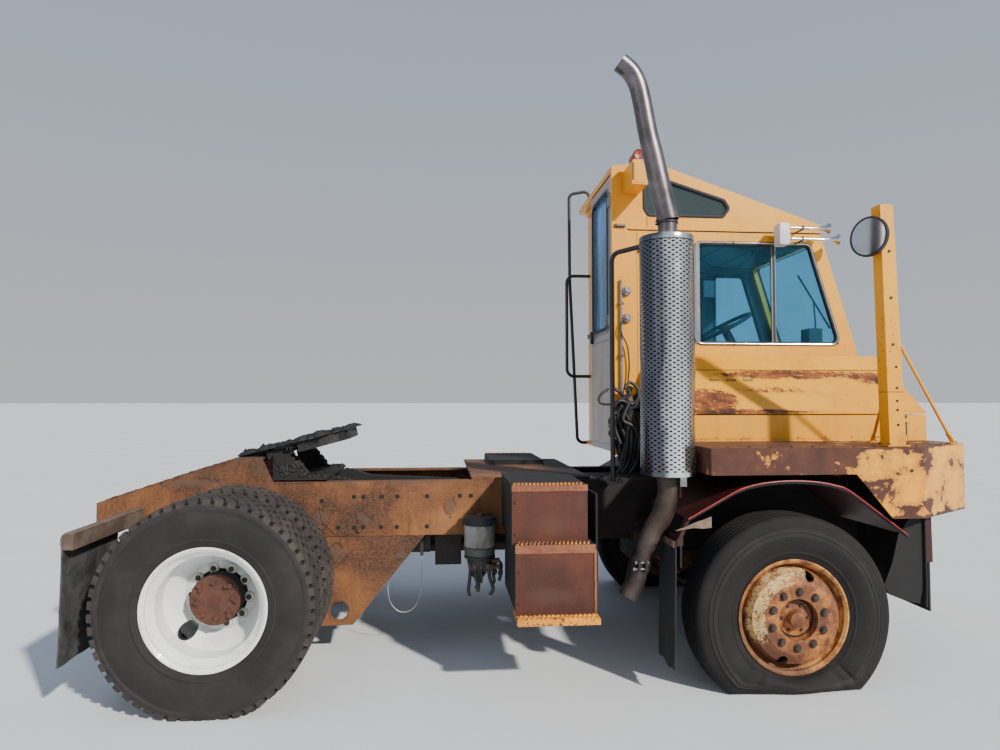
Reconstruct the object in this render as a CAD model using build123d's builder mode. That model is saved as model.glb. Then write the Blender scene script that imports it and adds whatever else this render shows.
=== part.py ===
from build123d import *
import math
import os

os.makedirs("parts", exist_ok=True)

# Yard tractor, millimetres. +X to the front, +Y to the left, +Z up.
# The row frame has its origin on the ground below the middle of the machine.
# All X values in this file are measured from the rear axle and shifted by X_REAR.
X_REAR = -1625.0          # rear axle in the row frame
WHEELBASE = 2946.0
LEFT, RIGHT = 1, -1
SIDES = (("left", LEFT), ("right", RIGHT))

# Frame
RAIL_OUT, RAIL_WEB, RAIL_FLANGE, RAIL_FLANGE_T = 430.0, 10.0, 85.0, 12.0
RAIL_Z0, RAIL_Z1 = 700.0, 1020.0
RAIL_X0, RAIL_X1 = -450.0, 3950.0
TAIL_X, NOSE_X = -850.0, 4100.0

# Rear axle and twin wheels
REAR_Z, REAR_TYRE_R = 506.0, 528.0            # loaded radius and free radius
TYRE_W = 279.0
OUTER_Y, INNER_Y, DUAL_DISC_Y = 1086.0, 743.0, 917.0
AXLE_TUBE_R, SPINDLE_R, RUN = 85.0, 45.0, 0.05

# Front axle, kingpins and wheels (front tyres have run flat: long flat patch on the ground)
FRONT_Z, FRONT_TYRE_R = 381.0, 527.0
KING_Y, FRONT_Y = 860.0, 1035.0
KINGPIN_R, STUB_R = 20.0, 35.0

# Deck and bumper skirt
DECK_Z1, DECK_T, BAND_Z0, SKIRT_Z0 = 1258.0, 10.0, 1120.0, 888.0
DECK_X0, DECK_HALF, BEVEL_X, BEVEL_Y, PLATE = 2492.0, 1200.0, 3640.0, 900.0, 10.0

# Engine cover
HOOD_X0, HOOD_X1, HOOD_Y_OUT, HOOD_Y_IN = 2500.0, 4098.0, -600.0, -114.0
HOOD_Z_SEAM, HOOD_Z_TOP = 1421.0, 1806.0

# Cab
CAB_Y0, CAB_Y1, WALL = -100.0, 1000.0, 40.0
CAB_Z0, SEAM_Z = 1275.0, 2650.0
REAR_WALL_X, REAR_WALL_T = 2340.0, 30.0

# Boom, lift cylinders and fifth wheel
BOOM_X, BOOM_Z, BOOM_PIN_R = 1230.0, 900.0, 35.0
EYE_X, EYE_Z, CYL_X, CYL_Z, CYL_Y, CYL_PIN_R = 700.0, 807.0, 675.0, 330.0, 260.0, 30.0
FIFTH_X, FIFTH_Z, FIFTH_TILT, KINGPIN_JAW_R, FIFTH_PIN_R = 175.0, 1146.0, 14.0, 25.6, 30.0

# Exhaust
MUFFLER_X, MUFFLER_Y, MUFFLER_R, MUFFLER_Z0, MUFFLER_Z1 = 2338.0, -985.0, 147.0, 1105.0, 2388.0
PIPE_R, TAIL_R = 52.0, 57.0


def side(y):
    """Plane at Y = y whose sketch axes are X (from the rear axle) and Z; it looks to the right (-Y)."""
    return Plane(origin=(X_REAR, y, 0), x_dir=(1, 0, 0), z_dir=(0, -1, 0))


def plan(z):
    """Level plane at height z; sketch axes are X (from the rear axle) and Y."""
    return Plane(origin=(X_REAR, 0, z), x_dir=(1, 0, 0), z_dir=(0, 0, 1))


def cross(x):
    """Upright plane across the machine at x; sketch axes are Y and Z, it looks forward."""
    return Plane(origin=(X_REAR + x, 0, 0), x_dir=(0, 1, 0), z_dir=(1, 0, 0))


def block(x0, x1, y0, y1, z0, z1, mode=Mode.ADD):
    """Box between two corners, added to the part that is being built."""
    with Locations((X_REAR + (x0 + x1) / 2, (y0 + y1) / 2, (z0 + z1) / 2)):
        Box(x1 - x0, y1 - y0, z1 - z0, mode=mode)


def slab(points, y0, y1, mode=Mode.ADD, round_r=0.0):
    """Side profile of (X, Z) points, extruded from Y = y0 to y1."""
    with BuildSketch(side(max(y0, y1))) as sk:
        with BuildLine():
            Polyline(*points, close=True)
        make_face()
        if round_r:
            fillet(sk.vertices(), round_r)
    extrude(sk.sketch, amount=abs(y1 - y0), mode=mode)


def bar(x0, x1, points, mode=Mode.ADD):
    """Cross section of (Y, Z) points, extruded from X = x0 to x1."""
    with BuildSketch(cross(x0)) as sk:
        with BuildLine():
            Polyline(*points, close=True)
        make_face()
    extrude(sk.sketch, amount=x1 - x0, mode=mode)


def rod_y(x, z, r, y0, y1, mode=Mode.ADD):
    """Round bar along Y."""
    with BuildSketch(side(max(y0, y1))) as sk:
        with Locations((x, z)):
            Circle(r)
    extrude(sk.sketch, amount=abs(y1 - y0), mode=mode)


def rod_x(x0, x1, y, z, r, mode=Mode.ADD):
    """Round bar along X."""
    with BuildSketch(cross(x0)) as sk:
        with Locations((y, z)):
            Circle(r)
    extrude(sk.sketch, amount=x1 - x0, mode=mode)


def rod_z(x, y, r, z0, z1, mode=Mode.ADD):
    """Round upright bar."""
    with BuildSketch(plan(z0)) as sk:
        with Locations((x, y)):
            Circle(r)
    extrude(sk.sketch, amount=z1 - z0, mode=mode)


def turned(x, z, outward, profile, mode=Mode.ADD):
    """Ring turned about a wheel axis: profile is (radius, distance from the centre line)."""
    pl = Plane(origin=(X_REAR + x, 0, z), x_dir=(1, 0, 0), z_dir=(0, 0, outward))
    with BuildSketch(pl) as sk:
        with BuildLine():
            Polyline(*profile, close=True)
        make_face()
    revolve(sk.sketch, axis=Axis((X_REAR + x, 0, z), (0, 1, 0)), mode=mode)


def tube(points, radius, radii=None):
    """Round tube along straight runs joined by tangent arcs. Points are (X, Y, Z)."""
    pts = [(X_REAR + p[0], p[1], p[2]) for p in points]
    if len(pts) > 2:
        with BuildLine() as path:
            FilletPolyline(*pts, radius=radii or radius * 2.5)
    else:
        with BuildLine() as path:
            Line(*pts)
    with BuildSketch(Plane(origin=path.line @ 0, z_dir=path.line % 0)) as sk:
        Circle(radius)
    sweep(sk.sketch, path=path.line)


def finish(name, part):
    part.part.label = name
    export_step(part.part, f"parts/{name}.step")


# ---------------------------------------------------------------- frame
with BuildPart() as frame_rails:
    for _, s in SIDES:
        a, b, c = s * RAIL_OUT, s * (RAIL_OUT - RAIL_WEB), s * (RAIL_OUT - RAIL_FLANGE)
        bar(RAIL_X0, RAIL_X1, [(a, RAIL_Z0), (a, RAIL_Z1), (c, RAIL_Z1), (c, RAIL_Z1 - RAIL_FLANGE_T),
                               (b, RAIL_Z1 - RAIL_FLANGE_T), (b, RAIL_Z0 + RAIL_FLANGE_T),
                               (c, RAIL_Z0 + RAIL_FLANGE_T), (c, RAIL_Z0)])
finish("frame_rails", frame_rails)

IN = RAIL_OUT - RAIL_WEB
# columns: x0, x1, z0, z1 of each plate crossmember between the webs
CROSSMEMBERS = (
    (-690.0, -640.0, 815.0, 940.0),
    (470.0, 530.0, 716.0, 780.0),
    (1500.0, 1560.0, 716.0, 1004.0),
    (2060.0, 2100.0, 716.0, 1004.0),
    (3860.0, 3920.0, 716.0, 1004.0),
)
with BuildPart() as crossmembers:
    for x0, x1, z0, z1 in CROSSMEMBERS:
        block(x0, x1, -IN, IN, z0, z1)
    rod_y(BOOM_X, BOOM_Z, BOOM_PIN_R, -IN, IN)          # boom pivot shaft
    rod_y(CYL_X, CYL_Z, CYL_PIN_R, -IN, IN)             # lift cylinder foot shaft
finish("crossmembers", crossmembers)

# Trailer ramps on the tail of each rail, with the arms that carry the rear mud flaps
RAMP = ((TAIL_X, 805.0), (TAIL_X, 914.0), (-80.0, 1166.0), (74.0, 1166.0), (140.0, RAIL_Z1),
        (RAIL_X0, RAIL_Z1), (RAIL_X0, 805.0))
RAMP_TOP = ((TAIL_X, 902.0), (TAIL_X, 914.0), (-80.0, 1166.0), (74.0, 1166.0), (74.0, 1154.0), (-78.0, 1154.0))
FLAP_ARM = (-632.0, -585.0, 805.0, 880.0)               # x0, x1, z0, z1
with BuildPart() as rear_ramps:
    for _, s in SIDES:
        slab(RAMP, s * IN, s * RAIL_OUT)
        slab(RAMP_TOP, s * 335.0, s * IN)
        x0, x1, z0, z1 = FLAP_ARM
        block(x0, x1, min(s * RAIL_OUT, s * 1215.0), max(s * RAIL_OUT, s * 1215.0), z0, z1)
finish("rear_ramps", rear_ramps)

# Plates below the rails that hold the rear axle without springs; each has a tie-down hole
HANGER = ((-445.0, RAIL_Z0), (1030.0, RAIL_Z0), (609.0, 180.0), (-120.0, 180.0), (-445.0, 405.0))
TIE_X, TIE_Z, TIE_R = 528.0, 264.0, 52.0
with BuildPart() as axle_hangers:
    for _, s in SIDES:
        slab(HANGER, s * IN, s * RAIL_OUT)
    rod_y(TIE_X, TIE_Z, TIE_R, -500.0, 500.0, mode=Mode.SUBTRACT)
    rod_y(0.0, REAR_Z, AXLE_TUBE_R + 0.5, -500.0, 500.0, mode=Mode.SUBTRACT)
finish("axle_hangers", axle_hangers)

with BuildPart() as rear_axle:
    rod_y(0.0, REAR_Z, AXLE_TUBE_R, -520.0, 520.0)
    rod_y(0.0, REAR_Z, SPINDLE_R, -1000.0, 1000.0)
    rod_y(0.0, REAR_Z, 190.0, -130.0, 110.0)            # differential housing
    rod_x(0.0, 260.0, -40.0, REAR_Z + 40.0, 80.0)       # pinion nose
finish("rear_axle", rear_axle)

# ---------------------------------------------------------------- front axle
EYE_R = 45.0
with BuildPart() as front_axle:
    block(WHEELBASE - 40.0, WHEELBASE + 40.0, -KING_Y, KING_Y, 345.0, 420.0)
    for _, s in SIDES:
        block(WHEELBASE - 60.0, WHEELBASE + 60.0, s * KING_Y - 60.0, s * KING_Y + 60.0, 340.0, 425.0, mode=Mode.SUBTRACT)
        rod_z(WHEELBASE, s * KING_Y, EYE_R, 345.0, 420.0)
        block(WHEELBASE - 40.0, WHEELBASE + 40.0, min(s * (KING_Y - 70.0), s * (KING_Y - 20.0)),
              max(s * (KING_Y - 70.0), s * (KING_Y - 20.0)), 345.0, 420.0)
        rod_z(WHEELBASE, s * KING_Y, KINGPIN_R + RUN, 300.0, 470.0, mode=Mode.SUBTRACT)
        # leaf spring pack and its two frame brackets
        y0, y1 = sorted((s * 345.0, s * 415.0))
        block(WHEELBASE - 620.0, WHEELBASE + 620.0, y0, y1, 540.0, 580.0)
        block(WHEELBASE - 300.0, WHEELBASE + 300.0, y0, y1, 500.0, 540.0)
        block(WHEELBASE - 90.0, WHEELBASE + 90.0, y0, y1, 420.0, 500.0)
        for dx in (-600.0, 600.0):
            block(WHEELBASE + dx - 35.0, WHEELBASE + dx + 35.0, y0, y1, 540.0, RAIL_Z0)
finish("front_axle", front_axle)

ARM_X = WHEELBASE - 180.0
for name, s in SIDES:
    with BuildPart() as knuckle:
        rod_z(WHEELBASE, s * KING_Y, KINGPIN_R, 300.0, 465.0)
        for z0, z1 in ((305.0, 338.0), (427.0, 460.0)):
            rod_z(WHEELBASE, s * KING_Y, 42.0, z0, z1)
            y0, y1 = sorted((s * KING_Y, s * 935.0))
            block(WHEELBASE - 42.0, WHEELBASE + 42.0, y0, y1, z0, z1)
        y0, y1 = sorted((s * 912.0, s * 937.0))
        block(WHEELBASE - 42.0, WHEELBASE + 42.0, y0, y1, 305.0, 460.0)
        rod_y(WHEELBASE, FRONT_Z, STUB_R, s * 930.0, s * 1112.0)
        # steering arm to the tie rod
        y0, y1 = sorted((s * (KING_Y - 25.0), s * (KING_Y + 25.0)))
        block(ARM_X - 25.0, WHEELBASE - 20.0, y0, y1, 310.0, 332.0)
    finish(f"knuckle_{name}", knuckle)

with BuildPart() as tie_rod:
    rod_y(ARM_X, 280.0, 17.0, -KING_Y, KING_Y)
    for _, s in SIDES:
        rod_z(ARM_X, s * KING_Y, 24.0, 262.0, 303.0)
finish("tie_rod", tie_rod)

# ---------------------------------------------------------------- power train
with BuildPart() as engine:
    block(2560.0, 3560.0, -340.0, 260.0, 600.0, 1240.0)
finish("engine", engine)

with BuildPart() as driveline:
    block(2110.0, 2560.0, -230.0, 170.0, 620.0, 1000.0)
    rod_x(262.0, 2112.0, -40.0, REAR_Z + 60.0, 45.0)
    rod_x(1980.0, 2112.0, -40.0, REAR_Z + 60.0, 75.0)
    block(2060.0, 2112.0, -120.0, 60.0, 560.0, 700.0)
finish("driveline", driveline)

# ---------------------------------------------------------------- deck and bumper skirt
OUTLINE = ((DECK_X0, -DECK_HALF), (BEVEL_X, -DECK_HALF), (NOSE_X, -BEVEL_Y), (NOSE_X, BEVEL_Y),
           (BEVEL_X, DECK_HALF), (DECK_X0, DECK_HALF))
OPEN_X0, OPEN_X1, OPEN_Y0, OPEN_Y1 = 2700.0, 3850.0, -560.0, 300.0
with BuildPart() as deck:
    with BuildSketch(plan(DECK_Z1 - DECK_T)):
        with BuildLine():
            Polyline(*OUTLINE, close=True)
        make_face()
        offset(amount=-PLATE, kind=Kind.INTERSECTION)
        with Locations(((OPEN_X0 + OPEN_X1) / 2, (OPEN_Y0 + OPEN_Y1) / 2)):
            Rectangle(OPEN_X1 - OPEN_X0, OPEN_Y1 - OPEN_Y0, mode=Mode.SUBTRACT)
    extrude(amount=DECK_T)
    # outriggers that carry the deck on the rails
    for x0 in (2540.0, 3600.0, 4000.0):
        for _, s in SIDES:
            y0, y1 = sorted((s * 350.0, s * (1180.0 if x0 < 3900.0 else 860.0)))
            block(x0, x0 + 50.0, y0, y1, 1180.0, DECK_Z1 - DECK_T)
            if x0 < 3900.0:
                y0, y1 = sorted((s * 350.0, s * 420.0))
                block(x0, x0 + 50.0, y0, y1, RAIL_Z1, 1180.0)
finish("deck", deck)

WING = ((2400.0, BAND_Z0), (3270.0, BAND_Z0), (3465.0, SKIRT_Z0), (3465.0, 800.0), (2400.0, 800.0))
with BuildPart() as bumper_skirt:
    with BuildSketch(plan(SKIRT_Z0)) as sk:
        with BuildLine():
            Polyline(*OUTLINE, close=True)
        make_face()
        offset(amount=-PLATE, kind=Kind.INTERSECTION, mode=Mode.SUBTRACT)
    extrude(amount=DECK_Z1 - SKIRT_Z0)
    slab(WING, 1300.0, -1300.0, mode=Mode.SUBTRACT)
finish("bumper_skirt", bumper_skirt)

# Fender arch over each front wheel: lines and one arc, 5 mm sheet
FENDER_Y0, FENDER_Y1, SHEET = 560.0, 1176.0, 5.0
with BuildPart() as front_fenders:
    for _, s in SIDES:
        with BuildSketch(side(max(s * FENDER_Y0, s * FENDER_Y1))):
            with BuildLine():
                Line((2375.0, 901.0), (2630.0, 1037.0))
                ThreePointArc((2630.0, 1037.0), (2935.0, 1088.0), (3240.0, 1035.0))
                Line((3240.0, 1035.0), (3560.0, 800.0))
                Line((3560.0, 800.0), (3557.0, 796.0))
                Line((3557.0, 796.0), (3237.5, 1030.5))
                ThreePointArc((3237.5, 1030.5), (2935.0, 1083.0), (2632.0, 1032.3))
                Line((2632.0, 1032.3), (2377.0, 896.5))
                Line((2377.0, 896.5), (2375.0, 901.0))
            make_face()
        extrude(amount=FENDER_Y1 - FENDER_Y0)
        # bar that carries the rear flap, and the strap up to the fender
        y0, y1 = sorted((s * RAIL_OUT, s * 1165.0))
        block(2322.0, 2352.0, y0, y1, 760.0, 800.0)
        y0, y1 = sorted((s * 1120.0, s * 1160.0))
        slab(((2330.0, 800.0), (2352.0, 800.0), (2400.0, 908.8), (2377.0, 896.5)), y0, y1)
finish("front_fenders", front_fenders)

# Rubber flaps. columns: x0, x1, inner |y|, outer |y|, z0, z1
FLAPS = (
    (-640.0, -632.0, 640.0, 1212.0, 255.0, 870.0),      # behind the twin wheels
    (2314.0, 2322.0, 900.0, 1165.0, 130.0, 790.0),      # behind the front wheels
    (3695.0, 3703.0, 770.0, 1120.0, 400.0, 1240.0),     # ahead of the front wheels
)
with BuildPart() as mud_flaps:
    for x0, x1, a, b, z0, z1 in FLAPS:
        for _, s in SIDES:
            y0, y1 = sorted((s * a, s * b))
            block(x0, x1, y0, y1, z0, z1)
finish("mud_flaps", mud_flaps)

# ---------------------------------------------------------------- engine cover
T = 8.0
with BuildPart() as hood_skirt:
    z1 = HOOD_Z_SEAM - 7.0
    block(HOOD_X0, HOOD_X1, HOOD_Y_OUT, HOOD_Y_OUT + T, DECK_Z1, z1)
    block(HOOD_X1 - T, HOOD_X1, HOOD_Y_OUT, -112.0, DECK_Z1, z1)
    block(HOOD_X0, HOOD_X0 + T, HOOD_Y_OUT, -112.0, DECK_Z1, z1)
    block(HOOD_X0, HOOD_X1, -122.0, -112.0, DECK_Z1, z1)
    block(HOOD_X0 + 18.0, HOOD_X1 - 18.0, -122.0, -112.0, z1 - 5.0, 1785.0)
finish("hood_skirt", hood_skirt)

SLOPE = (HOOD_Z_TOP - 1432.0) / (HOOD_Y_IN - HOOD_Y_OUT)
with BuildPart() as engine_hood:
    bar(HOOD_X0, HOOD_X1, [(HOOD_Y_IN, HOOD_Z_TOP), (HOOD_Y_OUT, 1432.0), (HOOD_Y_OUT, HOOD_Z_SEAM),
                           (HOOD_Y_OUT + T, HOOD_Z_SEAM), (HOOD_Y_OUT + T, 1428.0), (HOOD_Y_IN, HOOD_Z_TOP - 10.1)])
    for x0 in (HOOD_X0, HOOD_X1 - T):
        bar(x0, x0 + T, [(-122.0, HOOD_Z_TOP - 8.0 * SLOPE - 5.0), (HOOD_Y_OUT + 1.0, 1432.0 + SLOPE - 5.0),
                         (HOOD_Y_OUT + 1.0, HOOD_Z_SEAM), (-130.0, HOOD_Z_SEAM), (-122.0, 1500.0)])
finish("engine_hood", engine_hood)

# ---------------------------------------------------------------- exhaust
with BuildPart() as muffler:
    rod_z(MUFFLER_X, MUFFLER_Y, MUFFLER_R, MUFFLER_Z0, MUFFLER_Z1)
finish("muffler", muffler)

STACK = ((MUFFLER_X + 8.0, MUFFLER_Y, MUFFLER_Z1), (MUFFLER_X + 8.0, MUFFLER_Y, 2480.0), (2186.0, MUFFLER_Y, 3222.0), (2084.0, MUFFLER_Y, 3352.0))
TAILPIPE = ((MUFFLER_X, MUFFLER_Y, MUFFLER_Z0), (MUFFLER_X, MUFFLER_Y, 965.0), (2207.0, MUFFLER_Y, 735.0), (2145.0, MUFFLER_Y, 530.0))
with BuildPart() as exhaust_pipes:
    tube(STACK, PIPE_R, radii=(90.0, 150.0))
    tube(TAILPIPE, TAIL_R, radii=(150.0, 200.0))
finish("exhaust_pipes", exhaust_pipes)

with BuildPart() as muffler_stand:
    tube(((2128.0, -620.0, RAIL_Z1 + 15.0), (2128.0, -620.0, 2372.0), (2250.0, -835.0, 2372.0)), 14.0, radii=60.0)
    with BuildSketch(plan(2345.0)):
        with Locations((MUFFLER_X, MUFFLER_Y)):
            Circle(MUFFLER_R + 6.0)
            Circle(MUFFLER_R, mode=Mode.SUBTRACT)
    extrude(amount=38.0)
    block(2080.0, 2180.0, -660.0, -400.0, RAIL_Z1, RAIL_Z1 + 15.0)
finish("muffler_stand", muffler_stand)

# ---------------------------------------------------------------- steps, tanks and filter
# columns: x0, x1, inner |y|, outer |y|, z0, z1
STEPS = (
    (1483.0, 1879.0, 430.0, 1085.0, 760.0, 1072.0),
    (1494.0, 1904.0, 520.0, 1150.0, 425.0, 779.0),
    (1500.0, 1914.0, 1000.0, 1215.0, 388.0, 430.0),
)
with BuildPart() as step_boxes:
    for _, s in SIDES:
        for x0, x1, a, b, z0, z1 in STEPS:
            y0, y1 = sorted((s * a, s * b))
            block(x0, x1, y0, y1, z0, z1)
finish("step_boxes", step_boxes)

with BuildPart() as rear_platform:
    block(1310.0, 2040.0, -400.0, 930.0, RAIL_Z1, RAIL_Z1 + 15.0)
    block(1476.0, 1886.0, 428.0, 1000.0, 1000.0, 1080.0, mode=Mode.SUBTRACT)
finish("rear_platform", rear_platform)

with BuildPart() as fuel_filter:
    # columns: radius, z0, z1 of the stacked filter bodies
    for r, z0, z1 in ((98.0, 800.0, 832.0), (94.0, 610.0, 800.0), (70.0, 560.0, 612.0), (52.0, 440.0, 562.0)):
        rod_z(1350.0, -560.0, r, z0, z1)
    block(1300.0, 1400.0, -480.0, -RAIL_OUT, 720.0, 790.0)
finish("fuel_filter", fuel_filter)

TAB_X = 1010.0
with BuildPart() as air_tank:
    rod_x(850.0, 1060.0, -225.0, 665.0, 108.0)
    block(1090.0, 1250.0, -335.0, -150.0, 500.0, 695.0)
    block(1060.0, 1091.0, -260.0, -190.0, 640.0, 690.0)
    block(TAB_X - 10.0, TAB_X + 10.0, -356.0, -350.0, 561.0, RAIL_Z0)
    block(793.0, 813.0, -356.0, -350.0, 601.0, RAIL_Z0)
finish("air_tank", air_tank)

with BuildPart() as fuel_tank:
    rod_x(620.0, 1400.0, 700.0, 715.0, 250.0)
    for x in (740.0, 1240.0):
        block(x, x + 50.0, RAIL_OUT, 560.0, 900.0, 960.0)
finish("fuel_tank", fuel_tank)

# Drain pull cord: hangs in a loop between the two tabs
CORD_R, CORD_Y = 2.5, -353.0
CORD = ((803.0, CORD_Y, 600.0), (804.0, CORD_Y, 545.0), (808.0, CORD_Y, 485.0), (809.0, CORD_Y, 425.0),
        (806.0, CORD_Y, 365.0), (813.0, CORD_Y, 305.0), (838.0, CORD_Y, 255.0), (884.0, CORD_Y, 222.0),
        (936.0, CORD_Y, 226.0), (977.0, CORD_Y, 262.0), (1000.0, CORD_Y, 315.0), (1008.0, CORD_Y, 375.0),
        (1010.0, CORD_Y, 440.0), (1013.0, CORD_Y, 500.0), (1010.0, CORD_Y, 560.0))
with BuildPart() as drain_cord:
    vecs = [Vector(*p) for p in CORD]
    radii = []
    for a, b, c in zip(vecs, vecs[1:], vecs[2:]):
        turn = math.radians((b - a).get_angle(c - b))
        radii.append(0.45 * min((b - a).length, (c - b).length) / math.tan(turn / 2))
    print("cord radii", [round(r) for r in radii])
    tube(CORD, CORD_R, radii=radii)
print("cord volume/section", round(drain_cord.part.volume / (math.pi * CORD_R ** 2)))
finish("drain_cord", drain_cord)

# ---------------------------------------------------------------- mirror on its post
POST = ((3486.0, DECK_Z1), (3578.0, DECK_Z1), (3530.0, 2552.0), (3458.0, 2552.0))
with BuildPart() as mirror_post:
    slab(POST, -1150.0, -1070.0)
    tube(((3546.0, -1100.0, 1880.0), (4004.0, -938.0, DECK_Z1 + 9.0)), 9.0)
    tube(((3500.0, -1085.0, 1520.0), (3640.0, -765.0, DECK_Z1 + 9.0)), 9.0)
    tube(((3490.7, -1084.3, 2383.0), (3422.2, -1113.5, 2383.0)), 9.0)
finish("mirror_post", mirror_post)

MIRROR_C, MIRROR_R = (X_REAR + 3407.0, -1120.0, 2383.0), 105.0
with BuildPart() as mirror:
    with BuildSketch(Plane(origin=MIRROR_C, z_dir=(-0.92, -0.392, 0))):
        Circle(MIRROR_R)
    extrude(amount=-16.0)
finish("mirror", mirror)

# ---------------------------------------------------------------- cab
FRONT_LINE = ((3985.0, CAB_Z0), (3973.0, 1836.0), (3735.0, 2608.0), (3722.0, SEAM_Z))
WALL_X0 = REAR_WALL_X + REAR_WALL_T
# window outlines as (X, Z) with a corner radius
SIDE_WINDOW = ((2835.0, 1890.0), (3848.0, 1890.0), (3640.0, 2570.0), (2835.0, 2570.0))
LEFT_FRONT_WINDOW = ((3400.0, 1900.0), (3848.0, 1900.0), (3655.0, 2546.0), (3400.0, 2546.0))
LEFT_REAR_WINDOW = ((2520.0, 1900.0), (3280.0, 1900.0), (3280.0, 2546.0), (2520.0, 2546.0))
UPPER_WINDOW = ((2485.0, 2985.0), (2655.0, 2985.0), (3042.0, 2864.0), (3074.0, 2810.0), (3030.0, 2752.0), (2512.0, 2752.0), (2485.0, 2800.0))
WINDOW_R, UPPER_R, GLASS_T, GLASS_GAP = 45.0, 28.0, 6.0, 0.5


def window_sketch(points, radius, y, grow=0.0):
    with BuildSketch(side(y)) as sk:
        with BuildLine():
            Polyline(*points, close=True)
        make_face()
        fillet(sk.vertices(), radius)
        if grow:
            offset(amount=grow, kind=Kind.INTERSECTION)
    return sk.sketch


with BuildPart() as cab_right_wall:
    slab(((WALL_X0, CAB_Z0),) + FRONT_LINE + ((WALL_X0, SEAM_Z),), CAB_Y0, CAB_Y0 + WALL)
    extrude(window_sketch(SIDE_WINDOW, WINDOW_R, CAB_Y0 + WALL + 5), amount=WALL + 10, mode=Mode.SUBTRACT)
finish("cab_right_wall", cab_right_wall)

with BuildPart() as cab_left_wall:
    slab(((WALL_X0, CAB_Z0),) + FRONT_LINE + ((WALL_X0, SEAM_Z),), CAB_Y1 - WALL, CAB_Y1)
    for window in (LEFT_FRONT_WINDOW, LEFT_REAR_WINDOW):
        extrude(window_sketch(window, WINDOW_R, CAB_Y1 + 5), amount=WALL + 10, mode=Mode.SUBTRACT)
finish("cab_left_wall", cab_left_wall)

DOOR_GAP = (20.0, 500.0, 1310.0, 2985.0)                # y0, y1, z0, z1 of the rear doorway
REAR_Z1 = 3042.0
with BuildPart() as cab_rear_wall:
    block(REAR_WALL_X, WALL_X0, CAB_Y0, CAB_Y1, 1140.0, REAR_Z1)
    y0, y1, z0, z1 = DOOR_GAP
    block(REAR_WALL_X - 5, WALL_X0 + 5, y0, y1, z0, z1, mode=Mode.SUBTRACT)
    block(2262.0, REAR_WALL_X, CAB_Y0, -66.0, 1140.0, REAR_Z1)
    block(2308.0, REAR_WALL_X, -66.0, 940.0, 3004.0, 3034.0)
    block(2308.0, REAR_WALL_X, -66.0, 940.0, 1150.0, 1180.0)
finish("cab_rear_wall", cab_rear_wall)

SCREEN_Y0, SCREEN_Y1, SCREEN_Z0, SCREEN_Z1 = 0.0, 900.0, 1885.0, 2590.0
with BuildPart() as cab_front_wall:
    slab(FRONT_LINE + ((3682.0, SEAM_Z), (3933.0, 1836.0), (3945.0, CAB_Z0)), CAB_Y0 + WALL, CAB_Y1 - WALL)
    block(3600.0, 4000.0, SCREEN_Y0, SCREEN_Y1, SCREEN_Z0, SCREEN_Z1, mode=Mode.SUBTRACT)
finish("cab_front_wall", cab_front_wall)

with BuildPart() as cab_floor:
    block(WALL_X0, 3944.0, CAB_Y0 + WALL, CAB_Y1 - WALL, CAB_Z0, CAB_Z0 + 30.0)
finish("cab_floor", cab_floor)

ROOF = ((WALL_X0, SEAM_Z), (3722.0, SEAM_Z), (3723.0, 2711.0), (2617.0, 3092.0), (2493.0, 3107.0),
        (2262.0, 3082.0), (2262.0, REAR_Z1), (WALL_X0, REAR_Z1))
ROOF_HOLLOW = ((WALL_X0 - 1.0, SEAM_Z - 1.0), (3682.0, SEAM_Z - 1.0), (3682.0, 2682.0), (2610.0, 3052.0),
               (2493.0, 3066.0), (WALL_X0 - 1.0, REAR_Z1))
with BuildPart() as cab_roof:
    slab(ROOF, CAB_Y0, CAB_Y1)
    slab(ROOF_HOLLOW, CAB_Y0 + WALL, CAB_Y1 - WALL, mode=Mode.SUBTRACT)
    extrude(window_sketch(UPPER_WINDOW, UPPER_R, CAB_Y1 + 50), amount=CAB_Y1 - CAB_Y0 + 100, mode=Mode.SUBTRACT)
finish("cab_roof", cab_roof)

# Glass panes; the front screen leans with the pillars
PANES = (
    (SIDE_WINDOW, WINDOW_R, -86.0), (LEFT_FRONT_WINDOW, WINDOW_R, 992.0), (LEFT_REAR_WINDOW, WINDOW_R, 992.0),
    (UPPER_WINDOW, UPPER_R, -86.0), (UPPER_WINDOW, UPPER_R, 992.0),
)
with BuildPart() as cab_glass:
    for points, radius, y in PANES:
        extrude(window_sketch(points, radius, y, -GLASS_GAP), amount=GLASS_T)
    slab(((3950.0, SCREEN_Z0 + 0.5), (3956.0, SCREEN_Z0 + 0.5), (3737.2, SCREEN_Z1 - 0.5), (3731.2, SCREEN_Z1 - 0.5)),
         SCREEN_Y0 + 0.5, SCREEN_Y1 - 0.5)
finish("cab_glass", cab_glass)

DOOR = (-56.0, 560.0, 1160.0, 3030.0)
DOOR_X0, DOOR_X1 = 2268.0, 2300.0
DOOR_WINDOW = (30.0, 490.0, 2000.0, 2950.0)
with BuildPart() as cab_door:
    y0, y1, z0, z1 = DOOR
    block(DOOR_X0, DOOR_X1, y0, y1, z0, z1)
    y0, y1, z0, z1 = DOOR_WINDOW
    block(DOOR_X0 - 5, DOOR_X1 + 5, y0, y1, z0, z1, mode=Mode.SUBTRACT)
finish("cab_door", cab_door)

with BuildPart() as door_glass:
    block(2281.0, 2287.0, y0 + 0.5, y1 - 0.5, z0 + 0.5, z1 - 0.5)
finish("door_glass", door_glass)

SEAT_Y = 450.0
with BuildPart() as seat:
    block(2660.0, 3080.0, SEAT_Y - 235.0, SEAT_Y + 235.0, 1640.0, 1760.0)
    block(2600.0, 2700.0, SEAT_Y - 225.0, SEAT_Y + 225.0, 1760.0, 2300.0)
    block(2740.0, 3000.0, SEAT_Y - 150.0, SEAT_Y + 150.0, CAB_Z0 + 30.0, 1640.0)
finish("seat", seat)

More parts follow.
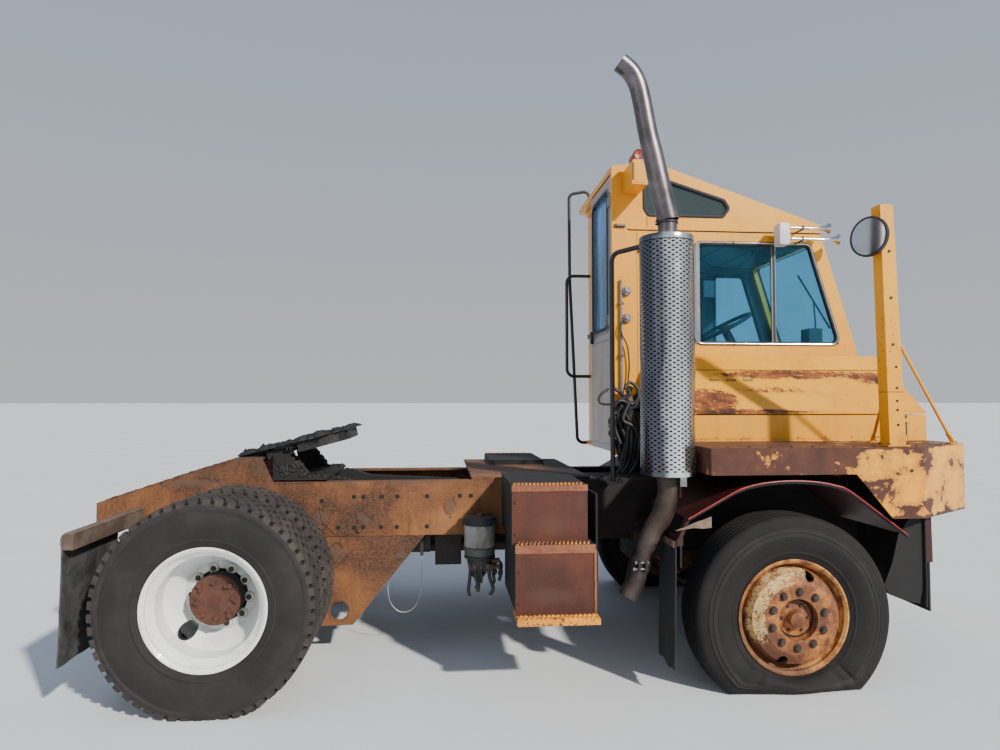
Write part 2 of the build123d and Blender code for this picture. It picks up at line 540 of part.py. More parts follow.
WHEEL_TILT = 28.7
HUB = (3260.0, SEAT_Y, 2056.0)
HUB_ORIGIN = (X_REAR + HUB[0], HUB[1], HUB[2])
COL_DIR = (-math.sin(math.radians(WHEEL_TILT)), 0.0, math.cos(math.radians(WHEEL_TILT)))
with BuildPart() as dashboard:
    slab(((3640.0, 1700.0), (3935.0, 1650.0), (3922.0, 1862.0), (3740.0, 1862.0), (3640.0, 1780.0)), -55.0, 955.0)
    with BuildSketch(Plane(origin=HUB_ORIGIN, z_dir=COL_DIR).offset(-31.0)):
        Circle(32.0)
    extrude(amount=-760.0)
finish("dashboard", dashboard)

with BuildPart() as steering_wheel:
    wheel_plane = Plane(origin=HUB_ORIGIN, x_dir=(0, 1, 0), z_dir=COL_DIR)
    with BuildSketch(Plane(origin=HUB_ORIGIN, x_dir=(0, 1, 0), z_dir=wheel_plane.y_dir)):
        with Locations((212.0, 0)):
            Circle(14.0)
    revolve(axis=Axis(HUB_ORIGIN, COL_DIR))
    with BuildSketch(wheel_plane.offset(-30.0)):
        Circle(38.0)
    extrude(amount=45.0)
    for k in range(3):
        with BuildSketch(wheel_plane.offset(-6.0)):
            with PolarLocations(118.0, 1, start_angle=90.0 + 120.0 * k):
                Rectangle(190.0, 26.0)
        extrude(amount=8.0)
finish("steering_wheel", steering_wheel)

with BuildPart() as air_horns:
    # columns: z, x of the bell's mouth, bell radius
    for z, x1, r in ((2660.0, 3722.0, 37.0), (2586.0, 3788.0, 38.0)):
        rod_x(3432.0, x1 - 70.0, -205.0, z, 11.0)
        with BuildSketch(side(-205.0)):
            with BuildLine():
                Polyline((x1 - 72.0, z), (x1 - 72.0, z + 11.0), (x1 - 25.0, z + 15.0), (x1, z + r), (x1, z), close=True)
            make_face()
        revolve(axis=Axis((X_REAR, -205.0, z), (1, 0, 0)))
    block(3358.0, 3434.0, -245.0, -165.0, 2537.0, 2685.0)
    block(3388.0, 3404.0, -165.0, CAB_Y0, 2590.0, 2630.0)
finish("air_horns", air_horns)

with BuildPart() as work_lamp:
    block(2338.0, 2446.0, -330.0, CAB_Y0, 2886.0, 3052.0)
    rod_y(2385.0, 3084.0, 33.0, -330.0, -180.0)
finish("work_lamp", work_lamp)

with BuildPart() as grab_rails:
    tube(((2345.0, 985.0, 3094.0), (2345.0, 985.0, 3240.0), (2176.0, 985.0, 3206.0), (2180.0, 985.0, 2500.0),
          (2240.0, 985.0, 1160.0), (REAR_WALL_X, 985.0, 1160.0)), 13.0, radii=(40.0, 50.0, 300.0, 50.0))
    tube(((REAR_WALL_X, 958.0, 2523.0), (2150.0, 958.0, 2523.0), (2150.0, 958.0, 1700.0), (REAR_WALL_X, 958.0, 1700.0)),
         13.0, radii=60.0)
finish("grab_rails", grab_rails)

# ---------------------------------------------------------------- boom, cylinders and fifth wheel
with BuildPart() as boom:
    for _, s in SIDES:
        y0, y1 = sorted((s * 220.0, s * 300.0))
        slab(((BOOM_X + 10.0, 850.0), (BOOM_X + 10.0, 960.0), (640.0, 990.0), (520.0, 1030.0), (140.0, 1030.0),
              (140.0, 1000.0), (420.0, 970.0), (560.0, 860.0)), y0, y1)
        for a, b in ((224.0, 236.0), (284.0, 296.0)):
            y0, y1 = sorted((s * a, s * b))
            slab(((EYE_X - 50.0, 870.0), (EYE_X + 50.0, 870.0), (EYE_X + 26.0, EYE_Z - 22.0), (EYE_X - 26.0, EYE_Z - 22.0)), y0, y1)
        rod_y(EYE_X, EYE_Z, 16.0, s * 224.0, s * 296.0)
        for a, b in ((300.0, 325.0), (385.0, 410.0)):
            y0, y1 = sorted((s * a, s * b))
            slab(((135.0, 1047.0), (330.0, 1047.0), (225.0, 1186.0), (135.0, 1186.0)), y0, y1)
        rod_y(FIFTH_X, FIFTH_Z, FIFTH_PIN_R, s * 300.0, s * 416.0)
    rod_y(BOOM_X, BOOM_Z, 60.0, -300.0, 300.0)
    block(130.0, 450.0, -410.0, 410.0, 1030.0, 1048.0)
    block(880.0, 930.0, -221.0, 221.0, 880.0, 950.0)
    rod_y(BOOM_X, BOOM_Z, BOOM_PIN_R + RUN, -305.0, 305.0, mode=Mode.SUBTRACT)
finish("boom", boom)

t = math.radians(FIFTH_TILT)
FIFTH_PLANE = Plane(origin=(X_REAR + FIFTH_X, 0, FIFTH_Z), x_dir=(math.cos(t), 0, math.sin(t)), z_dir=(-math.sin(t), 0, math.cos(t)))
PLATE_TOP, PLATE_T, SKIRT, JAW_Z0 = 85.0, 16.0, 46.0, 35.0
HALF = ((400.0, 0.0), (400.0, 230.0), (350.0, 335.0), (250.0, 405.0), (-15.0, 405.0), (-72.0, 320.0), (-250.0, 320.0), (-250.0, 0.0))
FIFTH_OUTLINE = HALF + tuple((x, -y) for x, y in reversed(HALF[1:-1]))
THROAT = ((0.0, KINGPIN_JAW_R), (-60.0, KINGPIN_JAW_R), (-260.0, 150.0), (-260.0, -150.0), (-60.0, -KINGPIN_JAW_R), (0.0, -KINGPIN_JAW_R))
with BuildPart() as fifth_wheel:
    with BuildSketch(FIFTH_PLANE.offset(PLATE_TOP - PLATE_T)):
        with BuildLine():
            Polyline(*FIFTH_OUTLINE, close=True)
        make_face()
    extrude(amount=PLATE_T)
    with BuildSketch(FIFTH_PLANE.offset(PLATE_TOP - PLATE_T - SKIRT)):
        with BuildLine():
            Polyline(*FIFTH_OUTLINE, close=True)
        make_face()
        offset(amount=-14.0, kind=Kind.INTERSECTION, mode=Mode.SUBTRACT)
        with Locations((30.0, -395.0), (30.0, 395.0)):
            Rectangle(170.0, 50.0, mode=Mode.SUBTRACT)
        for y in (-355.0, 355.0):
            with Locations((0.0, y)):
                Rectangle(150.0, 40.0)
    extrude(amount=SKIRT + 1.0)
    with BuildSketch(FIFTH_PLANE.offset(JAW_Z0)):
        Rectangle(300.0, 190.0)
    extrude(amount=PLATE_TOP - PLATE_T + 1.0 - JAW_Z0)
    with BuildSketch(FIFTH_PLANE.offset(-10.0)):
        with BuildLine():
            Polyline(*THROAT, close=True)
        make_face()
        Circle(KINGPIN_JAW_R)
    extrude(amount=120.0, mode=Mode.SUBTRACT)
    for _, s in SIDES:
        rod_y(FIFTH_X, FIFTH_Z, 52.0, s * 335.0, s * 375.0)
    rod_y(FIFTH_X, FIFTH_Z, FIFTH_PIN_R + RUN, -420.0, 420.0, mode=Mode.SUBTRACT)
finish("fifth_wheel", fifth_wheel)

# Lift cylinders: foot on the low shaft, rod eye loose round the boom's pin
u = Vector(EYE_X - CYL_X, 0, EYE_Z - CYL_Z).normalized()
REACH = Vector(EYE_X - CYL_X, 0, EYE_Z - CYL_Z).length
BARREL_R, ROD_R, BARREL_END, ROD_START = 45.0, 22.0, 392.0, 70.0
with BuildPart() as lift_barrels:
    for _, s in SIDES:
        foot = Vector(X_REAR + CYL_X, s * CYL_Y, CYL_Z)
        with BuildSketch(Plane(origin=foot + u * 30.0, z_dir=u)):
            Circle(BARREL_R)
        extrude(amount=BARREL_END - 30.0)
        rod_y(CYL_X, CYL_Z, 50.0, s * CYL_Y - 30.0, s * CYL_Y + 30.0)
    rod_y(CYL_X, CYL_Z, CYL_PIN_R + RUN, -400.0, 400.0, mode=Mode.SUBTRACT)
    for _, s in SIDES:
        foot = Vector(X_REAR + CYL_X, s * CYL_Y, CYL_Z)
        with BuildSketch(Plane(origin=foot + u * 60.0, z_dir=u)):
            Circle(ROD_R + RUN)
        extrude(amount=BARREL_END, mode=Mode.SUBTRACT)
finish("lift_barrels", lift_barrels)

with BuildPart() as lift_rods:
    for _, s in SIDES:
        foot = Vector(X_REAR + CYL_X, s * CYL_Y, CYL_Z)
        with BuildSketch(Plane(origin=foot + u * ROD_START, z_dir=u)):
            Circle(ROD_R)
        extrude(amount=REACH - ROD_START - 25.0)
        rod_y(EYE_X, EYE_Z, 48.0, s * CYL_Y - 17.0, s * CYL_Y + 17.0)
    rod_y(EYE_X, EYE_Z, 31.0, -400.0, 400.0, mode=Mode.SUBTRACT)
finish("lift_rods", lift_rods)

# ---------------------------------------------------------------- wheels
def ring_profile(centre, outer_r, half_w=139.5):
    """Tyre section, (radius, |y|): bead, bulged wall, shoulder and tread."""
    rows = ((287.0, 103.5), (299.5, 105.5), (312.0, 113.0), (360.0, 132.0), (405.0, half_w), (450.0, 134.0), (outer_r - 24.0, 121.0),
            (outer_r - 6.0, 106.0), (outer_r, 92.0))
    return [(r, centre + w) for r, w in rows] + [(r, centre - w) for r, w in reversed(rows)]


def rim_barrel(centre):
    """Rim section: two flanges, bead seats and the well, 8 mm plate."""
    rows = ((298.0, 114.0), (298.0, 106.5), (286.0, 104.0), (285.0, 78.0), (258.0, 62.0))
    inner = ((246.0, 52.0), (276.0, 86.0), (277.0, 104.0), (290.0, 114.0))
    return ([(r, centre + w) for r, w in rows] + [(r, centre - w) for r, w in reversed(rows)]
            + [(r, centre - w) for r, w in reversed(inner)] + [(r, centre + w) for r, w in inner])


STUDS, STUD_PCD_R, STUD_R = 10, 142.9, 16.0
for name, s in SIDES:
    with BuildPart() as rear_tyres:
        for centre in (OUTER_Y, INNER_Y):
            turned(0.0, REAR_Z, s, ring_profile(centre, REAR_TYRE_R))
        block(-600.0, 600.0, s * 900.0 - 400.0, s * 900.0 + 400.0, -300.0, 0.0, mode=Mode.SUBTRACT)
    finish(f"rear_tyres_{name}", rear_tyres)

    with BuildPart() as rear_rims:
        for centre in (OUTER_Y, INNER_Y):
            turned(0.0, REAR_Z, s, rim_barrel(centre))
        d = DUAL_DISC_Y
        turned(0.0, REAR_Z, s, [(137.0, d - 12), (137.0, d + 12), (172.0, d + 12), (252.0, d + 118), (257.0, d + 118),
                                (257.0, d + 102), (184.0, d), (257.0, d - 102), (257.0, d - 118), (252.0, d - 118), (172.0, d - 12)])
        with BuildSketch(side(s * (d + 60.0) + 60.0)) as holes:
            with Locations((0.0, REAR_Z)):
                with PolarLocations(213.0, 1, start_angle=-132.0):
                    Circle(41.0)
        extrude(amount=120.0, mode=Mode.SUBTRACT)
    finish(f"rear_rims_{name}", rear_rims)

    with BuildPart() as rear_hub:
        turned(0.0, REAR_Z, s, [(SPINDLE_R + RUN, 600.0), (70.0, 600.0), (70.0, 650.0), (210.0, 650.0), (210.0, 790.0),
                                (170.0, 790.0), (170.0, 905.0), (125.0, 905.0), (120.0, 1028.0), (0.0, 1028.0), (0.0, 1002.0),
                                (SPINDLE_R + RUN, 1002.0)])
        with BuildSketch(side(s * 905.0)):
            with Locations((0.0, REAR_Z)):
                with PolarLocations(105.0, 8):
                    Circle(12.0)
        extrude(amount=-s * 137.0)
    finish(f"rear_hub_{name}", rear_hub)

    with BuildPart() as front_tyre:
        turned(WHEELBASE, FRONT_Z, s, ring_profile(FRONT_Y, FRONT_TYRE_R))
        for w in (-118.0, 118.0):
            rod_x(WHEELBASE - 250.0, WHEELBASE + 250.0, s * FRONT_Y + w, 40.0, 40.0)
        block(WHEELBASE - 700.0, WHEELBASE + 700.0, s * FRONT_Y - 300.0, s * FRONT_Y + 300.0, -300.0, 0.0, mode=Mode.SUBTRACT)
    finish(f"front_tyre_{name}", front_tyre)

    with BuildPart() as front_rim:
        turned(WHEELBASE, FRONT_Z, s, rim_barrel(FRONT_Y))
        f = FRONT_Y
        turned(WHEELBASE, FRONT_Z, s, [(105.0, f + 143), (105.0, f + 155), (178.0, f + 155), (232.0, f + 128), (257.0, f + 60),
                                       (257.0, f + 40), (240.0, f + 50), (222.0, f + 116), (174.0, f + 143)])
        turned(WHEELBASE, FRONT_Z, s, [(STUB_R + RUN, 948.0), (60.0, 948.0), (60.0, 960.0), (205.0, 960.0), (205.0, 1060.0),
                                       (165.0, 1060.0), (165.0, f + 143), (107.0, f + 143), (104.0, 1150.0), (42.0, 1150.0),
                                       (40.0, 1190.0), (0.0, 1190.0), (0.0, 1114.0), (STUB_R + RUN, 1114.0)])
        # two hand holes in the sloped ring of the disc
        with BuildSketch(side(s * (f + 110.0) + 60.0)) as holes:
            with Locations((WHEELBASE, FRONT_Z)):
                with PolarLocations(222.0, 2, start_angle=70.0):
                    Circle(25.0)
        extrude(amount=120.0, mode=Mode.SUBTRACT)
    finish(f"front_rim_{name}", front_rim)
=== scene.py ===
import math
import random

import bpy
from mathutils import Matrix, Vector, noise as mnoise


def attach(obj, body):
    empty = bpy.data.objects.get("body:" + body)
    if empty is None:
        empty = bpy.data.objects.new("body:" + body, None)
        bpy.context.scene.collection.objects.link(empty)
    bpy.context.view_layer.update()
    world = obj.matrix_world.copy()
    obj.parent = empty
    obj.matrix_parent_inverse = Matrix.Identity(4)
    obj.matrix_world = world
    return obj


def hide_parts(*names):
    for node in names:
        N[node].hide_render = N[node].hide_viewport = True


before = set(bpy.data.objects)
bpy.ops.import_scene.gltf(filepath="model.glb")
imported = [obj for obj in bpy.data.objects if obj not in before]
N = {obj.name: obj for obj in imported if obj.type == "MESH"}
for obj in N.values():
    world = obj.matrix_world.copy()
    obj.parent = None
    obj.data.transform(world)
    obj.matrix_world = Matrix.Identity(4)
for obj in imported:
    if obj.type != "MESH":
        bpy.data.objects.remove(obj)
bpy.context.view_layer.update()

scene = bpy.context.scene
TAU = 2 * math.pi
SIDES = (("left", 1), ("right", -1))
XR = -1.625                      # rear axle in the row frame, metres


def P(x, y, z):
    """Point given from the rear axle, in metres."""
    return Vector((x + XR, y, z))


# ================================================================ camera
cam_data = bpy.data.cameras.new("camera")
cam_data.lens, cam_data.sensor_width = 25.05, 36.0
cam = bpy.data.objects.new("camera", cam_data)
scene.collection.objects.link(cam)
cam.location = P(1.112, -4.645, 1.501)
cam.rotation_euler = (math.radians(92.12), 0, math.radians(-4.99))
scene.camera = cam

# ================================================================ the drain pull cord
CORD_Y = -0.353
CORD = ((0.803, 0.600), (0.804, 0.545), (0.808, 0.485), (0.809, 0.425), (0.806, 0.365), (0.813, 0.305), (0.838, 0.255),
        (0.884, 0.222), (0.936, 0.226), (0.977, 0.262), (1.000, 0.315), (1.008, 0.375), (1.010, 0.440), (1.013, 0.500), (1.010, 0.560))


def curve_object(name, spline_points, radius, kind="NURBS"):
    cu = bpy.data.curves.new(name, "CURVE")
    cu.dimensions, cu.bevel_depth, cu.bevel_resolution, cu.resolution_u = "3D", radius * 100, 3, 10
    sp = cu.splines.new(kind)
    sp.points.add(len(spline_points) - 1)
    for pt, co in zip(sp.points, spline_points):
        pt.co = (*co, 1)
        pt.radius = 0.01
    sp.order_u = 3
    sp.use_endpoint_u = True
    ob = bpy.data.objects.new(name, cu)
    scene.collection.objects.link(ob)
    return ob


drain = curve_object("drain_cord_line", [P(x, CORD_Y, z) for x, z in CORD], 0.0025)
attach(drain, "chassis")
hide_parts("drain_cord")


# ================================================================ material writing
class Mat:
    """Small helper that builds one procedural material; positions are in the row frame, in metres."""

    def __init__(self, name):
        self.m = bpy.data.materials.new(name)
        self.m.use_nodes = True
        self.t = self.m.node_tree
        self.t.nodes.clear()
        self.o = self.t.nodes.new("ShaderNodeOutputMaterial")
        self.pos = self.t.nodes.new("ShaderNodeTexCoord").outputs["Object"]

    def node(self, kind, **kw):
        x = self.t.nodes.new("ShaderNode" + kind)
        for k, v in kw.items():
            setattr(x, k, v)
        return x

    def put(self, sock, val):
        if isinstance(val, bpy.types.NodeSocket):
            self.t.links.new(val, sock)
        else:
            sock.default_value = val

    def math(self, op, *a, clamp=False):
        x = self.node("Math", operation=op, use_clamp=clamp)
        for i, v in enumerate(a):
            self.put(x.inputs[i], v)
        return x.outputs[0]

    def vec(self, op, *a):
        x = self.node("VectorMath", operation=op)
        for i, v in enumerate(a):
            self.put(x.inputs[i], v)
        return x.outputs["Value"] if op in ("LENGTH", "DOT_PRODUCT", "DISTANCE") else x.outputs[0]

    def sep(self, v=None):
        x = self.node("SeparateXYZ")
        self.put(x.inputs[0], v or self.pos)
        return x.outputs

    def noise(self, scale, detail=5.0, rough=0.55, dist=0.0, stretch=None, seed=0.0):
        v = self.pos
        if stretch:
            v = self.vec("MULTIPLY", v, stretch)
        if seed:
            v = self.vec("ADD", v, (seed * 3.1, seed * -1.7, seed * 2.3))
        x = self.node("TexNoise")
        self.put(x.inputs["Vector"], v)
        for k, s in (("Scale", scale), ("Detail", detail), ("Roughness", rough), ("Distortion", dist)):
            x.inputs[k].default_value = s
        return x.outputs["Fac"]

    def cells(self, scale, feature="F1", stretch=None, seed=0.0, rand=1.0):
        v = self.pos
        if stretch:
            v = self.vec("MULTIPLY", v, stretch)
        if seed:
            v = self.vec("ADD", v, (seed, seed * 2, seed * -1))
        x = self.node("TexVoronoi", feature=feature)
        self.put(x.inputs["Vector"], v)
        x.inputs["Scale"].default_value = scale
        x.inputs["Randomness"].default_value = rand
        return x.outputs["Distance"]

    def step(self, v, lo, hi, a=0.0, b=1.0):
        x = self.node("MapRange", interpolation_type="SMOOTHSTEP", clamp=True)
        self.put(x.inputs["Value"], v)
        for k, s in (("From Min", lo), ("From Max", hi), ("To Min", a), ("To Max", b)):
            x.inputs[k].default_value = s
        return x.outputs["Result"]

    def mix(self, f, a, b, mode="MIX"):
        x = self.node("Mix", data_type="RGBA", blend_type=mode)
        self.put(x.inputs[0], f)
        for i, v in ((6, a), (7, b)):
            self.put(x.inputs[i], v if isinstance(v, bpy.types.NodeSocket) or len(v) == 4 else (*v, 1.0))
        return x.outputs[2]

    def ramp(self, f, *stops):
        x = self.node("ValToRGB")
        self.put(x.inputs[0], f)
        r = x.color_ramp
        while len(r.elements) < len(stops):
            r.elements.new(0.5)
        for e, (p, c) in zip(r.elements, stops):
            e.position, e.color = p, (*c, 1.0)
        return x.outputs[0]

    def patch(self, c, r, gain=1.0, soft=0.9):
        """gain at the centre of an ellipsoid, 0 outside it; c is measured from the rear axle."""
        d = self.vec("LENGTH", self.vec("DIVIDE", self.vec("SUBTRACT", self.pos, (c[0] + XR, c[1], c[2])), r))
        return self.step(d, 1.0 - soft, 1.0, gain, 0.0)

    def add(self, *vs):
        v = vs[0]
        for w in vs[1:]:
            v = self.math("ADD", v, w)
        return v

    def bump(self, height, strength=0.5, dist=0.002, normal=None):
        x = self.node("Bump")
        x.inputs["Strength"].default_value = strength
        x.inputs["Distance"].default_value = dist
        self.put(x.inputs["Height"], height)
        if normal:
            self.put(x.inputs["Normal"], normal)
        return x.outputs[0]

    def finish(self, **kw):
        x = self.node("BsdfPrincipled")
        for k, v in kw.items():
            k = k.replace("_", " ")
            if k in ("Base Color", "Emission Color", "Sheen Tint", "Coat Tint", "Specular Tint") and not isinstance(v, bpy.types.NodeSocket) and len(v) == 3:
                v = (*v, 1.0)
            self.put(x.inputs[k], v)
        self.t.links.new(x.outputs[0], self.o.inputs["Surface"])
        return self.m


DARK_RUST, MID_RUST, ORANGE_RUST = (0.050, 0.016, 0.008), (0.17, 0.050, 0.018), (0.44, 0.135, 0.022)
YELLOW, YELLOW_PALE = (0.82, 0.335, 0.006), (0.88, 0.40, 0.014)


def rust_colour(k, scale=7.0, seed=0.0, stops=None):
    a = k.noise(scale, 8, 0.68, 0.4, seed=seed)
    return k.ramp(a, *(stops or ((0.30, DARK_RUST), (0.48, MID_RUST), (0.60, (0.25, 0.09, 0.04)), (0.75, ORANGE_RUST))))


def paint(name, col=YELLOW, col2=YELLOW_PALE, rust=0.0, seed=1.0, dirt=0.35, rough=0.36, patches=(), chips=0.10, extra=None, coat=0.15, rust_stops=None, speckle=False, lined=False):
    """Weathered paint: fade, runs of dirt, chips and rust that eats in from patches ((centre), (radii), gain)."""
    k = Mat(name)
    fade = k.noise(1.3, 4, 0.5, seed=seed)
    base = k.mix(k.step(fade, 0.35, 0.68), col, col2)
    fleck = k.noise(9, 7, 0.65, seed=seed + 2)
    base = k.mix(k.step(fleck, 0.45, 0.8, 0.0, 0.35), base, tuple(0.72 * c for c in col))
    runs = k.noise(1.0, 6, 0.62, 0.3, stretch=(9, 9, 0.9), seed=seed)
    base = k.mix(k.step(runs, 0.50, 0.80, 0.0, dirt), base, (0.22, 0.105, 0.03))
    field = k.add(k.math("MULTIPLY", k.noise(2.7, 10, 0.72, 0.6, seed=seed + 4), 0.75), k.math("MULTIPLY", k.noise(19, 6, 0.7, seed=seed + 5), 0.25))
    grain = k.step(k.noise(26, 7, 0.8, 0.3, seed=seed + 9), 0.32, 0.66, 0.25, 1.45) if speckle else 1.0
    for c, r, g in patches:
        field = k.math("ADD", field, k.math("MULTIPLY", k.patch(c, r, g), grain))
    if extra:
        field = k.math("ADD", field, extra(k))
    lim = 0.74 - rust
    mask = k.step(field, lim, lim + 0.025)
    halo = k.step(field, lim - 0.16, lim + 0.01, 0.0, 0.75)
    spots = k.step(k.noise(46, 3, 0.6, seed=seed + 7), 0.74 - chips * 0.35, 0.76 - chips * 0.35)
    spots = k.math("MULTIPLY", spots, k.step(k.noise(1.9, 3, seed=seed + 8), 0.46, 0.62))
    mask = k.math("MAXIMUM", mask, spots)
    base = k.mix(halo, base, (0.52, 0.185, 0.022))
    colour = k.mix(mask, base, rust_colour(k, 8, seed, rust_stops))
    if lined:
        inner = k.step(k.math("ABSOLUTE", k.math("SUBTRACT", k.sep()[1], 0.45)), 0.546, 0.545)
        colour = k.mix(inner, colour, (0.060, 0.064, 0.068))
    h = k.add(k.math("MULTIPLY", mask, -0.5), k.math("MULTIPLY", k.math("MULTIPLY", k.noise(60, 6, 0.7), mask), 0.9), k.math("MULTIPLY", k.noise(3.0, 3), 0.35))
    rg = k.mix(mask, (rough,) * 3, (0.85,) * 3)
    rg = k.mix(k.step(runs, 0.45, 0.8, 0.0, 0.5), rg, (0.62,) * 3)
    return k.finish(Base_Color=colour, Roughness=rg, Normal=k.bump(h, 0.5, 0.002), Coat_Weight=coat, Coat_Roughness=0.2)


def rusty(name, stops, seed=0.0, scale=5.0, rough=0.8, streak=0.4, grey=0.0, patches=(), grey_col=(0.16, 0.15, 0.14), metal=0.0, bump=0.5, shade=None, broad=0.35, extra=None, speck=0.30):
    """Bare rusted or dirty steel, with grey wear and dark runs; shade gives (from x, to x, colour) of a painted shade
    that darkens it towards the front.
    """
    k = Mat(name)
    a = k.noise(scale, 9, 0.66, 0.6, seed=seed)
    b = k.noise(1.1, 4, 0.55, 0.2, seed=seed + 1)
    colour = k.ramp(k.add(k.math("MULTIPLY", a, 1.0 - broad), k.math("MULTIPLY", b, broad)), *stops)
    runs = k.noise(1.0, 7, 0.66, 0.2, stretch=(13, 13, 1.1), seed=seed + 2)
    colour = k.mix(k.step(runs, 0.48, 0.74, 0.0, streak), colour, tuple(0.28 * c for c in stops[0][1]))
    g = k.noise(3.4, 9, 0.7, 0.8, stretch=(1, 1, 1.8), seed=seed + 3)
    for c, r, gain in patches:
        g = k.math("ADD", g, k.patch(c, r, gain))
    worn = k.step(g, 0.70 - grey, 0.78 - grey, 0.0, 0.8)
    colour = k.mix(worn, colour, grey_col)
    grit = k.noise(70, 5, 0.7, seed=seed)
    colour = k.mix(k.step(grit, 0.35, 0.75, 0.0, speck), colour, tuple(min(1.0, 1.5 * c) for c in stops[-1][1]))
    if extra:
        colour = extra(k, colour)
    # painted shade: the colour goes towards the dark colour between the two x positions
    if shade:
        lo, hi, dark = shade
        colour = k.mix(k.step(k.sep()[0], lo + XR, hi + XR, 0.0, 0.93), colour, dark)
    h = k.add(k.math("MULTIPLY", a, 0.8), k.math("MULTIPLY", grit, 0.45))
    return k.finish(Base_Color=colour, Roughness=rough, Metallic=metal, Normal=k.bump(h, bump, 0.004))


RAIL_STOPS = ((0.385, (0.020, 0.010, 0.007)), (0.450, (0.058, 0.023, 0.012)), (0.500, (0.112, 0.040, 0.016)), (0.560, (0.175, 0.066, 0.021)), (0.660, (0.27, 0.115, 0.037)))
IRON_STOPS = ((0.30, (0.012, 0.009, 0.007)), (0.48, (0.032, 0.020, 0.014)), (0.62, (0.065, 0.032, 0.018)), (0.80, (0.11, 0.052, 0.024)))
PAINTED_SHADE_BLACK = (0.006, 0.005, 0.005)
SCARS = (((0.42, -0.43, 0.80), (0.075, 0.06, 0.10)), ((0.66, -0.43, 0.80), (0.11, 0.05, 0.06)), ((1.175, -0.43, 0.855), (0.065, 0.05, 0.11)),
         ((0.50, -0.43, 0.60), (0.10, 0.05, 0.10)), ((0.88, -0.43, 0.58), (0.07, 0.05, 0.05)), ((-0.30, -0.43, 1.02), (0.30, 0.05, 0.05)))


def scars(k, colour):
    """Scraped grey patches with dark rims, and rub marks along the top edge."""
    wob = k.noise(5.5, 7, 0.68, 1.5, seed=3)
    broken = k.step(k.noise(15, 5, 0.6, 0.6, seed=37), 0.44, 0.56)
    field = None
    for c, r in SCARS:
        f = k.patch(c, r, 1.0, 1.0)
        field = f if field is None else k.math("MAXIMUM", field, f)
    f = k.math("ADD", field, k.math("MULTIPLY", k.math("MULTIPLY", k.math("SUBTRACT", wob, 0.5), 3.0), k.step(field, 0.02, 0.34)))
    rim = k.math("MULTIPLY", k.math("MULTIPLY", k.step(f, 0.28, 0.38), k.step(f, 0.66, 0.46)), broken)
    colour = k.mix(k.math("MULTIPLY", rim, 0.75), colour, (0.028, 0.013, 0.009))
    colour = k.mix(k.step(f, 0.45, 0.75, 0.0, 0.60), colour, (0.090, 0.055, 0.040))
    top = k.math("MULTIPLY", k.step(k.sep()[2], 0.975, 1.012), k.step(k.noise(5, 7, 0.7, 0.4, stretch=(1, 1, 3), seed=9), 0.42, 0.60))
    return k.mix(k.math("MULTIPLY", top, 0.6), colour, (0.10, 0.055, 0.035))


M = {}
# the rail's front end under the cab and deck is painted near black as shade
M["rail"] = rusty("rail_rust", RAIL_STOPS, seed=2, scale=3.3, streak=0.55, broad=0.5, extra=scars, shade=(1.62, 1.98, PAINTED_SHADE_BLACK), grey_col=(0.12, 0.075, 0.05))
def ramp_tone(k, colour):
    """Rust of the ramps, with the grey-brown arms outside the frame."""
    colour = scars(k, colour)
    y = k.math("ABSOLUTE", k.sep()[1])
    arm = k.mix(k.step(k.noise(6, 7, 0.65, seed=31), 0.38, 0.66), (0.075, 0.048, 0.034), (0.15, 0.105, 0.075))
    return k.mix(k.step(y, 0.434, 0.440), colour, arm)


M["ramp"] = rusty("ramp_rust", RAIL_STOPS, seed=5, scale=2.6, streak=0.5, broad=0.5, extra=ramp_tone, grey_col=(0.11, 0.068, 0.045))
M["hanger"] = rusty("hanger_rust", RAIL_STOPS, seed=8, scale=2.4, streak=0.35, broad=0.45, extra=scars)
M["iron"] = rusty("axle_iron", IRON_STOPS, seed=3, scale=6, streak=0.3)
# machinery under the deck, darkened to near black as painted shade
M["dark"] = rusty("machinery_dark_painted_shade", ((0.30, (0.005, 0.0045, 0.004)), (0.5, (0.012, 0.010, 0.008)), (0.66, (0.024, 0.016, 0.011)), (0.82, (0.045, 0.026, 0.016))), seed=6, scale=5, rough=0.7, streak=0.3)
M["boom"] = rusty("boom_black", ((0.30, (0.004, 0.0035, 0.003)), (0.5, (0.008, 0.007, 0.006)), (0.66, (0.014, 0.010, 0.008)), (0.82, (0.028, 0.018, 0.012))), seed=7, scale=6, rough=0.75, streak=0.3, speck=0.08, grey_col=(0.035, 0.028, 0.024))
M["hub"] = rusty("hub_rust", ((0.30, (0.028, 0.011, 0.007)), (0.46, (0.062, 0.022, 0.013)), (0.60, (0.098, 0.036, 0.020)), (0.80, (0.17, 0.072, 0.036))), seed=11, scale=11, streak=0.0, speck=0.12)


def step_wear(k, colour):
    """A scuffed grey-beige patch low on each outer face and brown runs."""
    x, y, z = k.sep()
    wob = k.noise(9, 7, 0.7, 0.6, seed=21)
    runs = k.noise(1.0, 6, 0.6, 0.4, stretch=(16, 16, 1.5), seed=22)
    colour = k.mix(k.step(runs, 0.46, 0.72, 0.0, 0.7), colour, (0.060, 0.018, 0.010))
    for c, r in (((1.70, -1.085, 0.86), (0.17, 0.2, 0.105)), ((1.665, -1.15, 0.52), (0.26, 0.2, 0.085)), ((1.84, -1.085, 0.98), (0.05, 0.2, 0.12))):
        f = k.math("ADD", k.patch(c, r, 1.0, 1.0), k.math("MULTIPLY", k.math("SUBTRACT", wob, 0.5), 1.1))
        colour = k.mix(k.step(f, 0.20, 1.05, 0.0, 0.34), colour, (0.100, 0.048, 0.032))
    edge = k.step(k.noise(6, 6, 0.65, 0.5, seed=27), 0.42, 0.62)
    colour = k.mix(k.math("MULTIPLY", k.step(x, 1.885 + XR, 1.905 + XR), edge), colour, (0.11, 0.075, 0.055))
    flakes = k.step(k.noise(34, 5, 0.7, seed=23), 0.66, 0.70)
    return k.mix(k.math("MULTIPLY", flakes, 0.25), colour, (0.26, 0.085, 0.038))


